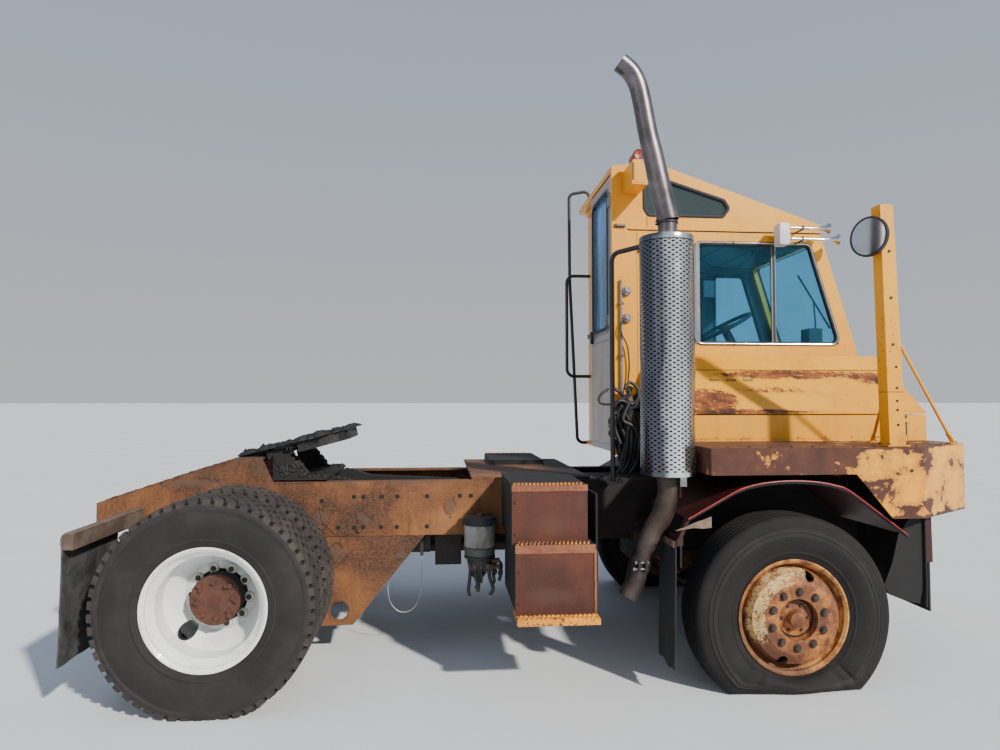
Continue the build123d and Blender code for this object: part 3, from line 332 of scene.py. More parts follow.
M["step"] = rusty("step_box_rust", ((0.36, (0.028, 0.008, 0.005)), (0.45, (0.058, 0.015, 0.008)), (0.52, (0.092, 0.024, 0.011)), (0.60, (0.130, 0.037, 0.016)), (0.74, (0.18, 0.062, 0.027))), seed=14, scale=2.6, streak=0.0, broad=0.6, bump=0.3, extra=step_wear, speck=0.06)
M["maroon"] = rusty("maroon_sheet", ((0.30, (0.010, 0.002, 0.002)), (0.5, (0.028, 0.003, 0.003)), (0.66, (0.055, 0.005, 0.005)), (0.85, (0.10, 0.010, 0.008))), seed=17, scale=3.0, rough=0.5, streak=0.25, bump=0.25)
M["wing"] = rusty("wing_strip", ((0.30, (0.055, 0.034, 0.022)), (0.5, (0.105, 0.068, 0.046)), (0.68, (0.165, 0.115, 0.08)), (0.85, (0.22, 0.17, 0.125))), seed=19, scale=5, rough=0.7, streak=0.4)


def build_yellows():
    M["cab"] = paint("cab_yellow", rust=0.0, seed=1, dirt=0.22, chips=0.10,
                     patches=(((2.42, -0.1, 1.45), (0.35, 0.15, 0.22), 0.10), ((3.80, -0.1, 1.85), (0.12, 0.1, 0.06), 0.08)))
    M["wall"] = paint("cab_wall_yellow", rust=0.0, seed=1, dirt=0.22, chips=0.10, lined=True,
                      patches=(((2.42, -0.1, 1.45), (0.35, 0.15, 0.22), 0.10), ((3.80, -0.1, 1.85), (0.12, 0.1, 0.06), 0.08)))
    M["roof"] = paint("roof_yellow", rust=0.0, seed=3, dirt=0.20, chips=0.12, patches=(((2.55, -0.1, 2.66), (0.5, 0.05, 0.02), 0.12),))
    M["hood"] = paint("hood_yellow", rust=0.0, seed=6, dirt=0.30, chips=0.18,
                      patches=(((2.76, -0.50, 1.505), (0.25, 0.18, 0.15), 0.80), ((2.90, -0.60, 1.437), (0.66, 0.050, 0.032), 0.60),
                               ((3.42, -0.29, 1.67), (0.76, 0.10, 0.060), 0.58), ((3.96, -0.33, 1.64), (0.22, 0.12, 0.09), 0.44), ((3.25, -0.42, 1.57), (0.42, 0.08, 0.07), 0.26)),
                      speckle=True, rust_stops=((0.34, (0.036, 0.011, 0.006)), (0.46, (0.105, 0.028, 0.009)), (0.56, (0.26, 0.072, 0.013)), (0.74, (0.44, 0.150, 0.025))))
    M["skirt"] = paint("hood_skirt_yellow", rust=0.0, seed=9, dirt=0.24, chips=0.16, patches=(((2.9, -0.6, 1.27), (1.4, 0.05, 0.018), 0.22),))

    # band and bumper: old yellow left at the front, gone to brown rust behind the flaking edge
    def edge(k):
        x, _, z = k.sep()
        lead = k.math("SUBTRACT", x, k.math("MULTIPLY", z, -0.10))
        a = k.step(lead, 3.36 + XR + 0.125, 3.22 + XR + 0.125, 0.0, 0.235)
        top = k.step(z, 1.240, 1.260, 0.0, 0.20)
        low = k.step(z, 0.915, 0.885, 0.0, 0.20)
        return k.add(a, top, low, k.math("MULTIPLY", k.math("SUBTRACT", k.noise(6.4, 9, 0.66, 0.35, stretch=(1, 1, 1.25), seed=41), 0.5), 0.85))
    M["band"] = paint("flaking_yellow", rust=0.128, seed=21, dirt=0.25, chips=0.2, extra=edge,
                      patches=(((3.66, -1.17, 1.17), (0.10, 0.16, 0.10), 0.18), ((3.67, -1.16, 0.93), (0.07, 0.12, 0.10), 0.22), ((3.40, -1.2, 1.03), (0.13, 0.1, 0.12), 0.16), ((3.52, -1.2, 0.93), (0.12, 0.1, 0.07), 0.16), ((3.62, -1.2, 1.24), (0.16, 0.1, 0.035), 0.16)),
                      rust_stops=((0.30, (0.044, 0.014, 0.008)), (0.46, (0.068, 0.021, 0.011)), (0.60, (0.094, 0.029, 0.014)), (0.80, (0.15, 0.052, 0.025))))
    M["post"] = paint("post_yellow", rust=0.02, seed=25, dirt=0.35, chips=0.25, patches=(((3.55, -1.12, 1.30), (0.1, 0.1, 0.08), 0.2),))
    M["tread_yellow"] = paint("tread_yellow", rust=0.14, seed=29, dirt=0.3, chips=0.4, rough=0.5)
    M["diamond_yellow"] = paint("diamond_yellow", rust=0.19, seed=33, dirt=0.45, chips=0.5, rough=0.6)
    # the rear door's yellow paint is given the grey-lilac it shows in shade: painted shade
    M["door"] = paint("door_yellow_painted_shade", col=(0.290, 0.225, 0.185), col2=(0.330, 0.275, 0.245), rust=0.0, seed=31, dirt=0.45, chips=0.14)


build_yellows()


def simple(name, col, rough=0.5, metal=0.0, var=0.25, scale=8.0, bump=0.15, dust=0.0, dust_col=(0.25, 0.2, 0.16), **kw):
    k = Mat(name)
    a = k.noise(scale, 6, 0.6)
    colour = k.mix(k.step(a, 0.3, 0.75), tuple(c * (1 - var) for c in col), tuple(min(1.0, c * (1 + var)) for c in col))
    if dust:
        colour = k.mix(k.step(k.noise(3.1, 7, 0.65, 0.3, seed=4), 0.40, 0.75, 0.0, dust), colour, dust_col)
    r = k.mix(a, (max(0.02, rough * 0.8),) * 3, (min(1.0, rough * 1.25),) * 3)
    return k.finish(Base_Color=colour, Roughness=r, Metallic=metal, Normal=k.bump(k.noise(scale * 9, 4), bump, 0.001), **kw)


M["black"] = simple("black_paint", (0.018, 0.018, 0.02), 0.38, dust=0.25, dust_col=(0.09, 0.075, 0.065))
M["rubber"] = simple("black_rubber", (0.016, 0.016, 0.017), 0.7, dust=0.35, dust_col=(0.06, 0.055, 0.05))
M["hose"] = simple("hose_rubber", (0.014, 0.014, 0.015), 0.5, dust=0.2, dust_col=(0.08, 0.07, 0.06))
k = Mat("mud_flap_rubber")
flap_dust = k.math("MULTIPLY", k.step(k.sep()[0], XR, XR - 0.3), k.step(k.noise(5.5, 8, 0.7, 0.3, seed=4), 0.30, 0.66))
flap_tone = k.mix(k.step(k.noise(14, 6), 0.3, 0.75), (0.0055, 0.0055, 0.006), (0.010, 0.0095, 0.0095))
M["flap"] = k.finish(Base_Color=k.mix(flap_dust, flap_tone, (0.072, 0.068, 0.066)), Roughness=0.8, Normal=k.bump(k.noise(60, 6, 0.7), 0.5, 0.002))
M["plastic"] = simple("black_plastic", (0.022, 0.022, 0.024), 0.55, dust=0.2, dust_col=(0.12, 0.11, 0.10))
M["chrome"] = simple("chrome_trim", (0.62, 0.62, 0.63), 0.14, 1.0, 0.08, 20, 0.05)
M["zinc"] = simple("zinc_steel", (0.42, 0.41, 0.40), 0.38, 1.0, 0.25, 22, 0.2)
M["bolt"] = simple("dark_bolts", (0.075, 0.05, 0.04), 0.6, 0.5, 0.4, 40, 0.4)
M["white"] = simple("white_plastic", (0.72, 0.73, 0.74), 0.4, 0.0, 0.06, 12, 0.1, dust=0.2)
M["grey_frame"] = simple("grey_window_frame", (0.20, 0.21, 0.23), 0.4, 0.6, 0.15, 15, 0.1)
M["stack"] = simple("stack_steel", (0.150, 0.130, 0.135), 0.34, 0.85, 0.5, 5, 0.3, dust=0.45, dust_col=(0.10, 0.065, 0.045))
M["tailpipe"] = simple("tailpipe_steel", (0.060, 0.047, 0.042), 0.5, 0.5, 0.5, 7, 0.5, dust=0.5, dust_col=(0.085, 0.040, 0.022))
M["cord"] = simple("cord_steel", (0.45, 0.43, 0.40), 0.45, 0.6)
M["red_edge"] = simple("red_edge", (0.36, 0.020, 0.018), 0.4, 0.0, 0.3, 12, 0.2)
M["red_lens"] = simple("red_lens", (0.30, 0.035, 0.02), 0.3, 0.0, 0.3, 30, 0.2)
M["interior"] = simple("cab_lining", (0.075, 0.08, 0.085), 0.75, 0.0, 0.2, 10, 0.3)
M["brown"] = simple("brown_bracket", (0.14, 0.075, 0.048), 0.8, 0.0, 0.35, 9, 0.5)
M["cylinder"] = simple("lift_barrel_paint", (0.03, 0.028, 0.027), 0.5, 0.2, 0.4, 8, 0.3, dust=0.5, dust_col=(0.09, 0.06, 0.04))


def tyre_material(name, col, dusty, seed, ring=None):
    k = Mat(name)
    a = k.noise(4.5, 8, 0.65, 0.4, seed=seed)
    fine = k.noise(60, 4, 0.7, seed=seed)
    colour = k.mix(k.step(a, 0.36, 0.70), col, dusty)
    colour = k.mix(k.step(fine, 0.58, 0.75, 0.0, 0.35), colour, tuple(min(1.0, 1.7 * c) for c in dusty))
    h = k.add(k.math("MULTIPLY", fine, 0.5), k.math("MULTIPLY", a, 0.5))
    return k.finish(Base_Color=colour, Roughness=0.82, Specular_IOR_Level=0.35, Normal=k.bump(h, 0.35, 0.003))


M["tyre_rear"] = tyre_material("rear_tyre_rubber", (0.0165, 0.0142, 0.0142), (0.029, 0.0235, 0.0220), 2)
M["tyre_ridge"] = tyre_material("tyre_ridge_rubber", (0.018, 0.0155, 0.0150), (0.033, 0.027, 0.025), 12)
M["tread"] = tyre_material("tread_rubber", (0.030, 0.025, 0.023), (0.062, 0.049, 0.042), 5)
M["groove"] = tyre_material("groove_rubber", (0.0030, 0.0030, 0.0030), (0.006, 0.0055, 0.0055), 5)
M["tyre_front"] = tyre_material("front_tyre_rubber", (0.0075, 0.0068, 0.0068), (0.015, 0.0125, 0.012), 9)
M["tyre_front_ring"] = tyre_material("front_tyre_ring", (0.0145, 0.013, 0.0128), (0.026, 0.0225, 0.021), 7)


def rim_white():
    k = Mat("white_rim_paint")
    x, y, z = k.sep()
    a = k.noise(5, 6, 0.6, seed=2)
    base = k.mix(k.step(a, 0.4, 0.75), (0.86, 0.865, 0.85), (0.74, 0.735, 0.70))
    # radius from the wheel centre drives the dirt that sits in the dish and round the studs
    r = k.vec("LENGTH", k.vec("SUBTRACT", k.vec("MULTIPLY", k.pos, (1, 0, 1)), (XR, 0, REAR_CENTRE_Z)))
    fld = k.add(k.math("MULTIPLY", k.noise(7, 8, 0.7, 0.3, seed=7), 0.8), k.math("MULTIPLY", k.noise(40, 4), 0.2), k.step(r, 0.20, 0.13, 0.0, 0.05))
    mask = k.step(fld, 0.655, 0.69)
    base = k.mix(k.step(fld, 0.50, 0.66, 0.0, 0.45), base, (0.42, 0.33, 0.24))
    green = k.math("MULTIPLY", k.step(r, 0.185, 0.165), k.step(k.noise(9, 5, 0.6, seed=12), 0.40, 0.60, 0.2, 0.8))
    base = k.mix(green, base, (0.42, 0.50, 0.44))
    colour = k.mix(mask, base, (0.15, 0.065, 0.03))
    return k.finish(Base_Color=colour, Roughness=0.35, Coat_Weight=0.2, Normal=k.bump(k.noise(14, 4), 0.15, 0.002))


def rim_rusty():
    k = Mat("rusty_rim_paint")
    d = k.vec("SUBTRACT", k.vec("MULTIPLY", k.pos, (1, 0, 1)), (2.946 + XR, 0, 0.381))
    r = k.vec("LENGTH", d)
    dx, _, dz = k.sep(d)
    rust = rust_colour(k, 15, 5, ((0.28, (0.045, 0.014, 0.006)), (0.43, (0.16, 0.050, 0.014)), (0.56, (0.36, 0.125, 0.026)), (0.76, (0.55, 0.23, 0.055))))
    rust = k.mix(k.step(k.noise(4, 5, 0.6, seed=6), 0.48, 0.62, 0.0, 0.6), rust, (0.095, 0.032, 0.014))
    # yellow-orange left on the inner lip and brown towards the lower rear
    lip = k.math("MULTIPLY", k.step(r, 0.262, 0.272), k.step(k.noise(11, 6, 0.65, seed=8), 0.44, 0.56))
    rust = k.mix(k.math("MULTIPLY", lip, 0.7), rust, (0.62, 0.30, 0.07))
    low = k.step(k.math("ADD", dx, dz), -0.10, -0.30, 0.0, 0.8)
    rust = k.mix(low, rust, (0.085, 0.030, 0.014))
    # cream paint left on the sloped ring of the upper rear quarter
    upper = k.step(k.math("SUBTRACT", k.math("MULTIPLY", dz, 0.8), dx), 0.02, 0.20)
    band = k.math("MULTIPLY", k.step(r, 0.165, 0.185), k.step(r, 0.262, 0.242))
    fld = k.add(k.math("MULTIPLY", k.noise(85, 6, 0.80, 0.2, seed=3), 0.62), k.math("MULTIPLY", k.noise(15, 5, 0.6, seed=4), 0.38), k.math("MULTIPLY", k.math("MULTIPLY", upper, band), 0.150))
    cream = k.mix(k.step(k.noise(30, 4), 0.4, 0.7), (0.62, 0.43, 0.19), (0.50, 0.28, 0.08))
    mask = k.step(fld, 0.612, 0.640)
    colour = k.mix(mask, rust, cream)
    h = k.add(k.math("MULTIPLY", k.noise(34, 8, 0.7), 0.7), k.math("MULTIPLY", mask, 0.5))
    return k.finish(Base_Color=colour, Roughness=0.7, Normal=k.bump(h, 0.6, 0.003))


REAR_CENTRE_Z = 0.506
M["nut_white"] = simple("painted_nuts", (0.60, 0.63, 0.57), 0.45, 0.0, 0.25, 30, 0.3, dust=0.6, dust_col=(0.26, 0.17, 0.11))
# near black for gaps, holes and pipe insides, and as painted shade on the rear hub barrel and round the wheel nuts
M["gap"] = simple("dark_gaps_and_painted_shade", (0.010, 0.008, 0.007), 0.8)
M["rim_white"], M["rim_rusty"] = rim_white(), rim_rusty()


def guard_material():
    k = Mat("perforated_steel")
    runs = k.noise(1.0, 6, 0.6, 0.2, stretch=(14, 14, 1.2))
    colour = k.mix(k.step(runs, 0.35, 0.72), (0.86, 0.86, 0.86), (0.52, 0.52, 0.53))
    # painted reflection: blue-grey dark on the side facing the rear and mid-grey on the front side, standing in for
    # dark surroundings mirrored in the steel
    side = k.add(k.math("MULTIPLY", k.math("SUBTRACT", k.sep()[0], 2.338 + XR), 1.0), k.math("MULTIPLY", k.math("SUBTRACT", k.noise(3.2, 5, 0.6, 0.2, stretch=(2, 2, 0.6), seed=8), 0.5), 0.16))
    colour = k.mix(k.step(side, -0.028, -0.085), colour, (0.105, 0.112, 0.135))
    colour = k.mix(k.step(side, 0.035, 0.110, 0.0, 0.75), colour, (0.20, 0.195, 0.19))
    dirt = k.step(k.noise(5, 8, 0.7, 0.5, seed=2), 0.58, 0.76, 0.0, 0.85)
    colour = k.mix(dirt, colour, (0.14, 0.10, 0.08))
    r = k.mix(dirt, (0.20,) * 3, (0.55,) * 3)
    return k.finish(Base_Color=colour, Metallic=0.95, Roughness=r, Normal=k.bump(k.noise(9, 5), 0.12, 0.004))


M["guard"] = guard_material()


def glass(name, tint, body, share=0.2, dirt=0.25, upper=None):
    """Sheet that tints what is behind it; share is how much of its own colour shows, raised by dirt; upper is (tint, body, more share) of the roof panes."""
    k = Mat(name)
    smear = k.noise(2.2, 7, 0.62, 0.8, stretch=(1, 1, 0.5), seed=3)
    p = k.node("BsdfPrincipled")
    own = k.mix(k.step(smear, 0.35, 0.75), body, tuple(min(1.0, 1.9 * c) for c in body))
    if upper:
        high = k.step(k.sep()[2], 2.66, 2.67)
        own = k.mix(high, own, upper[1])
    k.put(p.inputs["Base Color"], own)
    p.inputs["Roughness"].default_value = 0.03
    p.inputs["Specular IOR Level"].default_value = 0.8
    clear = k.node("BsdfTransparent")
    k.put(clear.inputs["Color"], k.mix(high, tint, upper[0]) if upper else (*tint, 1.0))
    mix = k.node("MixShader")
    amount = k.add(k.step(smear, 0.42, 0.80, 0.0, dirt), share)
    k.put(mix.inputs[0], k.math("ADD", amount, k.math("MULTIPLY", high, upper[2])) if upper else amount)
    k.t.links.new(clear.outputs[0], mix.inputs[1])
    k.t.links.new(p.outputs[0], mix.inputs[2])
    k.t.links.new(mix.outputs[0], k.o.inputs["Surface"])
    return k.m


M["glass"] = glass("tinted_glass", (0.66, 0.90, 1.0), (0.030, 0.095, 0.14), 0.05, 0.10, upper=((0.32, 0.37, 0.38), (0.060, 0.085, 0.090), 0.52))
M["glass_dark"] = glass("dark_glass", (0.20, 0.24, 0.26), (0.022, 0.034, 0.036), 0.45, 0.3)
M["glass_door"] = glass("door_glass_tint", (0.66, 0.84, 0.97), (0.085, 0.235, 0.46), 0.46, 0.25)
k = Mat("mirror_glass")
M["mirror"] = k.finish(Base_Color=k.mix(k.step(k.noise(7, 5), 0.3, 0.8), (0.62, 0.66, 0.70), (0.46, 0.50, 0.54)), Metallic=1.0, Roughness=0.07)


def grease():
    k = Mat("greasy_clods")
    a = k.noise(16, 8, 0.7, 0.5)
    colour = k.ramp(a, (0.3, (0.006, 0.006, 0.007)), (0.52, (0.011, 0.010, 0.010)), (0.66, (0.021, 0.017, 0.015)), (0.82, (0.052, 0.034, 0.024)))
    r = k.mix(k.step(a, 0.35, 0.6), (0.50,) * 3, (0.88,) * 3)
    return k.finish(Base_Color=colour, Roughness=r, Normal=k.bump(k.add(k.math("MULTIPLY", k.noise(38, 6, 0.7), 0.6), a), 0.7, 0.006))


M["grease"] = grease()


def fabric():
    k = Mat("seat_fabric")
    p = k.sep()
    w = k.math("MULTIPLY", k.math("SINE", k.math("MULTIPLY", p[1], 1900.0)), k.math("SINE", k.math("MULTIPLY", k.math("ADD", p[0], p[2]), 1900.0)))
    colour = k.mix(k.step(w, -0.6, 0.6), (0.020, 0.021, 0.024), (0.050, 0.051, 0.056))
    colour = k.mix(k.step(k.noise(5, 6), 0.5, 0.8, 0.0, 0.4), colour, (0.10, 0.09, 0.08))
    return k.finish(Base_Color=colour, Roughness=0.9, Sheen_Weight=0.3, Sheen_Roughness=0.5, Normal=k.bump(w, 0.3, 0.0008))


M["fabric"] = fabric()


def filter_clear():
    k = Mat("filter_bowl")
    a = k.noise(14, 6, 0.65, 0.4, stretch=(1, 1, 0.5))
    colour = k.ramp(a, (0.32, (0.10, 0.085, 0.06)), (0.5, (0.24, 0.225, 0.19)), (0.7, (0.42, 0.42, 0.40)))
    return k.finish(Base_Color=colour, Roughness=0.35, Coat_Weight=0.4, Normal=k.bump(a, 0.2, 0.002))


M["filter"] = filter_clear()

M["filter_low"] = simple("filter_low_part", (0.060, 0.085, 0.070), 0.5, 0.0, 0.35, 18, 0.3, dust=0.6, dust_col=(0.12, 0.09, 0.065))
M["cream"] = simple("cream_strap", (0.20, 0.135, 0.095), 0.7, 0.0, 0.35, 24, 0.3, dust=0.7, dust_col=(0.085, 0.045, 0.03))
# near black for sheets and faces that sit in deep shade: painted shade, with a little dust
M["shadow"] = simple("near_black_painted_shade", (0.0055, 0.005, 0.005), 0.75, 0.0, 0.3, 8, 0.3, dust=0.35, dust_col=(0.014, 0.010, 0.008))
M["step_lip"] = rusty("step_lip_rust", ((0.30, (0.10, 0.028, 0.014)), (0.46, (0.18, 0.055, 0.026)), (0.60, (0.25, 0.085, 0.038)), (0.80, (0.34, 0.15, 0.075))), seed=16, scale=5.0, streak=0.2, broad=0.4)

M["silencer"] = simple("silencer_steel", (0.022, 0.021, 0.021), 0.5, 0.4, 0.4, 8, 0.3, dust=0.4, dust_col=(0.045, 0.030, 0.022))

M["slot"] = simple("olive_slots", (0.24, 0.16, 0.035), 0.6, 0.0, 0.3, 30, 0.2)

# CAD nodes that stay: name to material
STAY = {
    "frame_rails": "rail", "crossmembers": "iron", "rear_ramps": "ramp", "axle_hangers": "hanger", "rear_axle": "iron", "front_axle": "iron",
    "engine": "dark", "driveline": "dark", "deck": "band", "bumper_skirt": "band", "front_fenders": "maroon", "mud_flaps": "flap",
    "hood_skirt": "skirt", "engine_hood": "hood", "muffler": "guard", "exhaust_pipes": "stack", "muffler_stand": "black", "step_boxes": "step",
    "rear_platform": "rail", "fuel_filter": "filter", "air_tank": "dark", "fuel_tank": "dark", "mirror_post": "post", "mirror": "mirror",
    "cab_right_wall": "wall", "cab_left_wall": "wall", "cab_rear_wall": "cab", "cab_front_wall": "cab", "cab_floor": "plastic", "cab_roof": "roof",
    "cab_glass": "glass", "seat": "fabric", "dashboard": "plastic", "air_horns": "chrome", "work_lamp": "roof", "grab_rails": "black",
    "cab_door": "door", "door_glass": "glass_door", "steering_wheel": "plastic", "boom": "boom", "fifth_wheel": "grease", "lift_barrels": "cylinder",
    "lift_rods": "zinc", "knuckle_left": "iron", "knuckle_right": "iron", "tie_rod": "iron",
    "rear_tyres_left": "tyre_rear", "rear_tyres_right": "tyre_rear", "rear_rims_left": "rim_white", "rear_rims_right": "rim_white",
    "rear_hub_left": "hub", "rear_hub_right": "hub", "front_tyre_left": "tyre_front", "front_tyre_right": "tyre_front",
    "front_rim_left": "rim_rusty", "front_rim_right": "rim_rusty", "drain_cord": "cord",
}
for name, key in STAY.items():
    ob = N[name]
    ob.data.materials.clear()
    ob.data.materials.append(M[key])
drain.data.materials.append(M["cord"])

# Soft edges on the pressed and welded pieces
ROUND = {"frame_rails": 4, "rear_ramps": 4, "axle_hangers": 3, "crossmembers": 4, "deck": 3, "bumper_skirt": 4, "hood_skirt": 2.5, "engine_hood": 3,
         "cab_right_wall": 6, "cab_left_wall": 6, "cab_rear_wall": 5, "cab_front_wall": 6, "cab_roof": 9, "cab_door": 5, "mirror_post": 5, "work_lamp": 8,
         "rear_platform": 3, "boom": 4, "engine": 12, "driveline": 14, "dashboard": 14, "front_axle": 5}
for name, mm in ROUND.items():
    mod = N[name].modifiers.new("edges", "BEVEL")
    mod.width, mod.segments, mod.limit_method, mod.angle_limit = mm / 1000, 3, "ANGLE", math.radians(40)
    mod.harden_normals = True
    mod.use_clamp_overlap = True


# ================================================================ mesh writing
class Shape:
    """Collects joined mesh pieces; points are in the row frame."""

    def __init__(self):
        self.v, self.f, self.m = [], [], []

    def put(self, verts, faces, mat=0):
        k = len(self.v)
        self.v += [tuple(p) for p in verts]
        self.f += [tuple(i + k for i in f) for f in faces]
        self.m += [mat] * len(faces)

    def box(self, x0, x1, y0, y1, z0, z1, mat=0, turn=None):
        """Box with its corners given from the rear axle; turn is a matrix about the box's centre."""
        c = P((x0 + x1) / 2, (y0 + y1) / 2, (z0 + z1) / 2)
        h = Vector((abs(x1 - x0) / 2, abs(y1 - y0) / 2, abs(z1 - z0) / 2))
        pts = [Vector((sx * h.x, sy * h.y, sz * h.z)) for sx in (-1, 1) for sy in (-1, 1) for sz in (-1, 1)]
        if turn:
            pts = [turn @ p for p in pts]
        self.put([c + p for p in pts], [(0, 1, 3, 2), (4, 6, 7, 5), (0, 4, 5, 1), (2, 3, 7, 6), (0, 2, 6, 4), (1, 5, 7, 3)], mat)

    def loft(self, rings, mat=0, closed=True, wrap=False, caps=True):
        n = len(rings[0])
        verts = [p for r in rings for p in r]
        faces = []
        m = len(rings)
        for i in range(m if wrap else m - 1):
            j = (i + 1) % m
            for a in range(n if closed else n - 1):
                b = (a + 1) % n
                faces.append((i * n + a, i * n + b, j * n + b, j * n + a))
        if caps and closed and not wrap:
            faces.append(tuple(reversed(range(n))))
            faces.append(tuple(range((m - 1) * n, m * n)))
        self.put(verts, faces, mat)

    def lathe(self, centre, axis, profile, seg=48, mat=0, closed=True, arc=TAU, start=0.0):
        """profile is (radius, height along axis); closed joins its ends."""
        axis = Vector(axis).normalized()
        side = axis.orthogonal().normalized()
        other = axis.cross(side)
        full = abs(arc - TAU) < 1e-6
        rings = []
        for i in range(seg if full else seg + 1):
            a = start + arc * i / seg
            d = side * math.cos(a) + other * math.sin(a)
            rings.append([Vector(centre) + d * r + axis * h for r, h in profile])
        self.loft(rings, mat, closed=closed, wrap=full, caps=not full)

    def rod(self, a, b, r, seg=20, mat=0, r2=None):
        a, b = Vector(a), Vector(b)
        ax = (b - a).normalized()
        s = ax.orthogonal().normalized()
        o = ax.cross(s)
        rings = []
        for p, rr in ((a, r), (b, r if r2 is None else r2)):
            rings.append([p + (s * math.cos(TAU * i / seg) + o * math.sin(TAU * i / seg)) * rr for i in range(seg)])
        self.loft(rings, mat)

    def nut(self, c, axis, across, h, mat=0, spin=0.0):
        ax = Vector(axis).normalized()
        s = ax.orthogonal().normalized()
        o = ax.cross(s)
        r = across / math.sqrt(3)
        rings = []
        for t, k in ((0, 1.0), (0.8, 1.0), (1.0, 0.86)):
            rings.append([Vector(c) + ax * h * t + (s * math.cos(spin + TAU * i / 6) + o * math.sin(spin + TAU * i / 6)) * r * k for i in range(6)])
        self.loft(rings, mat)

    def pipe(self, pts, radius, seg=14, mat=0, caps=True):
        """Tube along points; radius is a number or one per point."""
        pts = [Vector(p) for p in pts]
        rad = [radius] * len(pts) if isinstance(radius, (int, float)) else radius
        t0 = (pts[1] - pts[0]).normalized()
        n = t0.orthogonal().normalized()
        rings = []
        for i, p in enumerate(pts):
            t = (pts[min(i + 1, len(pts) - 1)] - pts[max(i - 1, 0)]).normalized()
            n = (n - t * n.dot(t)).normalized()
            b = t.cross(n)
            rings.append([p + (n * math.cos(TAU * a / seg) + b * math.sin(TAU * a / seg)) * rad[i] for a in range(seg)])
        self.loft(rings, mat, caps=caps)

    def object(self, name, mats, body, slot, angle=35, bevel=0.0, stands_for=()):
        me = bpy.data.meshes.new(name)
        me.from_pydata(self.v, [], self.f)
        for x in (mats if isinstance(mats, (list, tuple)) else [mats]):
            me.materials.append(x if isinstance(x, bpy.types.Material) else M[x])
        me.polygons.foreach_set("material_index", self.m)
        me.update()
        me.validate()
        me.shade_smooth()
        me.set_sharp_from_angle(angle=math.radians(angle))
        ob = bpy.data.objects.new(name, me)
        scene.collection.objects.link(ob)
        if bevel:
            mod = ob.modifiers.new("edges", "BEVEL")
            mod.width, mod.segments, mod.limit_method, mod.angle_limit = bevel, 2, "ANGLE", math.radians(45)
            mod.harden_normals = True
        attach(ob, body)
        if stands_for:
            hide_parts(*stands_for)
        return ob


def smooth_line(pts, n=8):
    """Points of a smooth curve through pts."""
    pts = [Vector(p) for p in pts]
    ext = [pts[0] * 2 - pts[1]] + pts + [pts[-1] * 2 - pts[-2]]
    out = []
    for i in range(1, len(ext) - 2):
        p0, p1, p2, p3 = ext[i - 1:i + 3]
        for j in range(n):
            t = j / n
            out.append(0.5 * ((2 * p1) + (p2 - p0) * t + (2 * p0 - 5 * p1 + 4 * p2 - p3) * t * t + (3 * p1 - p0 - 3 * p2 + p3) * t ** 3))
    out.append(pts[-1])
    return out


def smoothstep(t):
    t = max(0.0, min(1.0, t))
    return t * t * (3 - 2 * t)


# ================================================================ rear tyres
REAR_Z, REAR_R = 0.506, 0.528


def on_ground(p):
    return Vector((p.x, p.y, max(0.0012, p.z)))


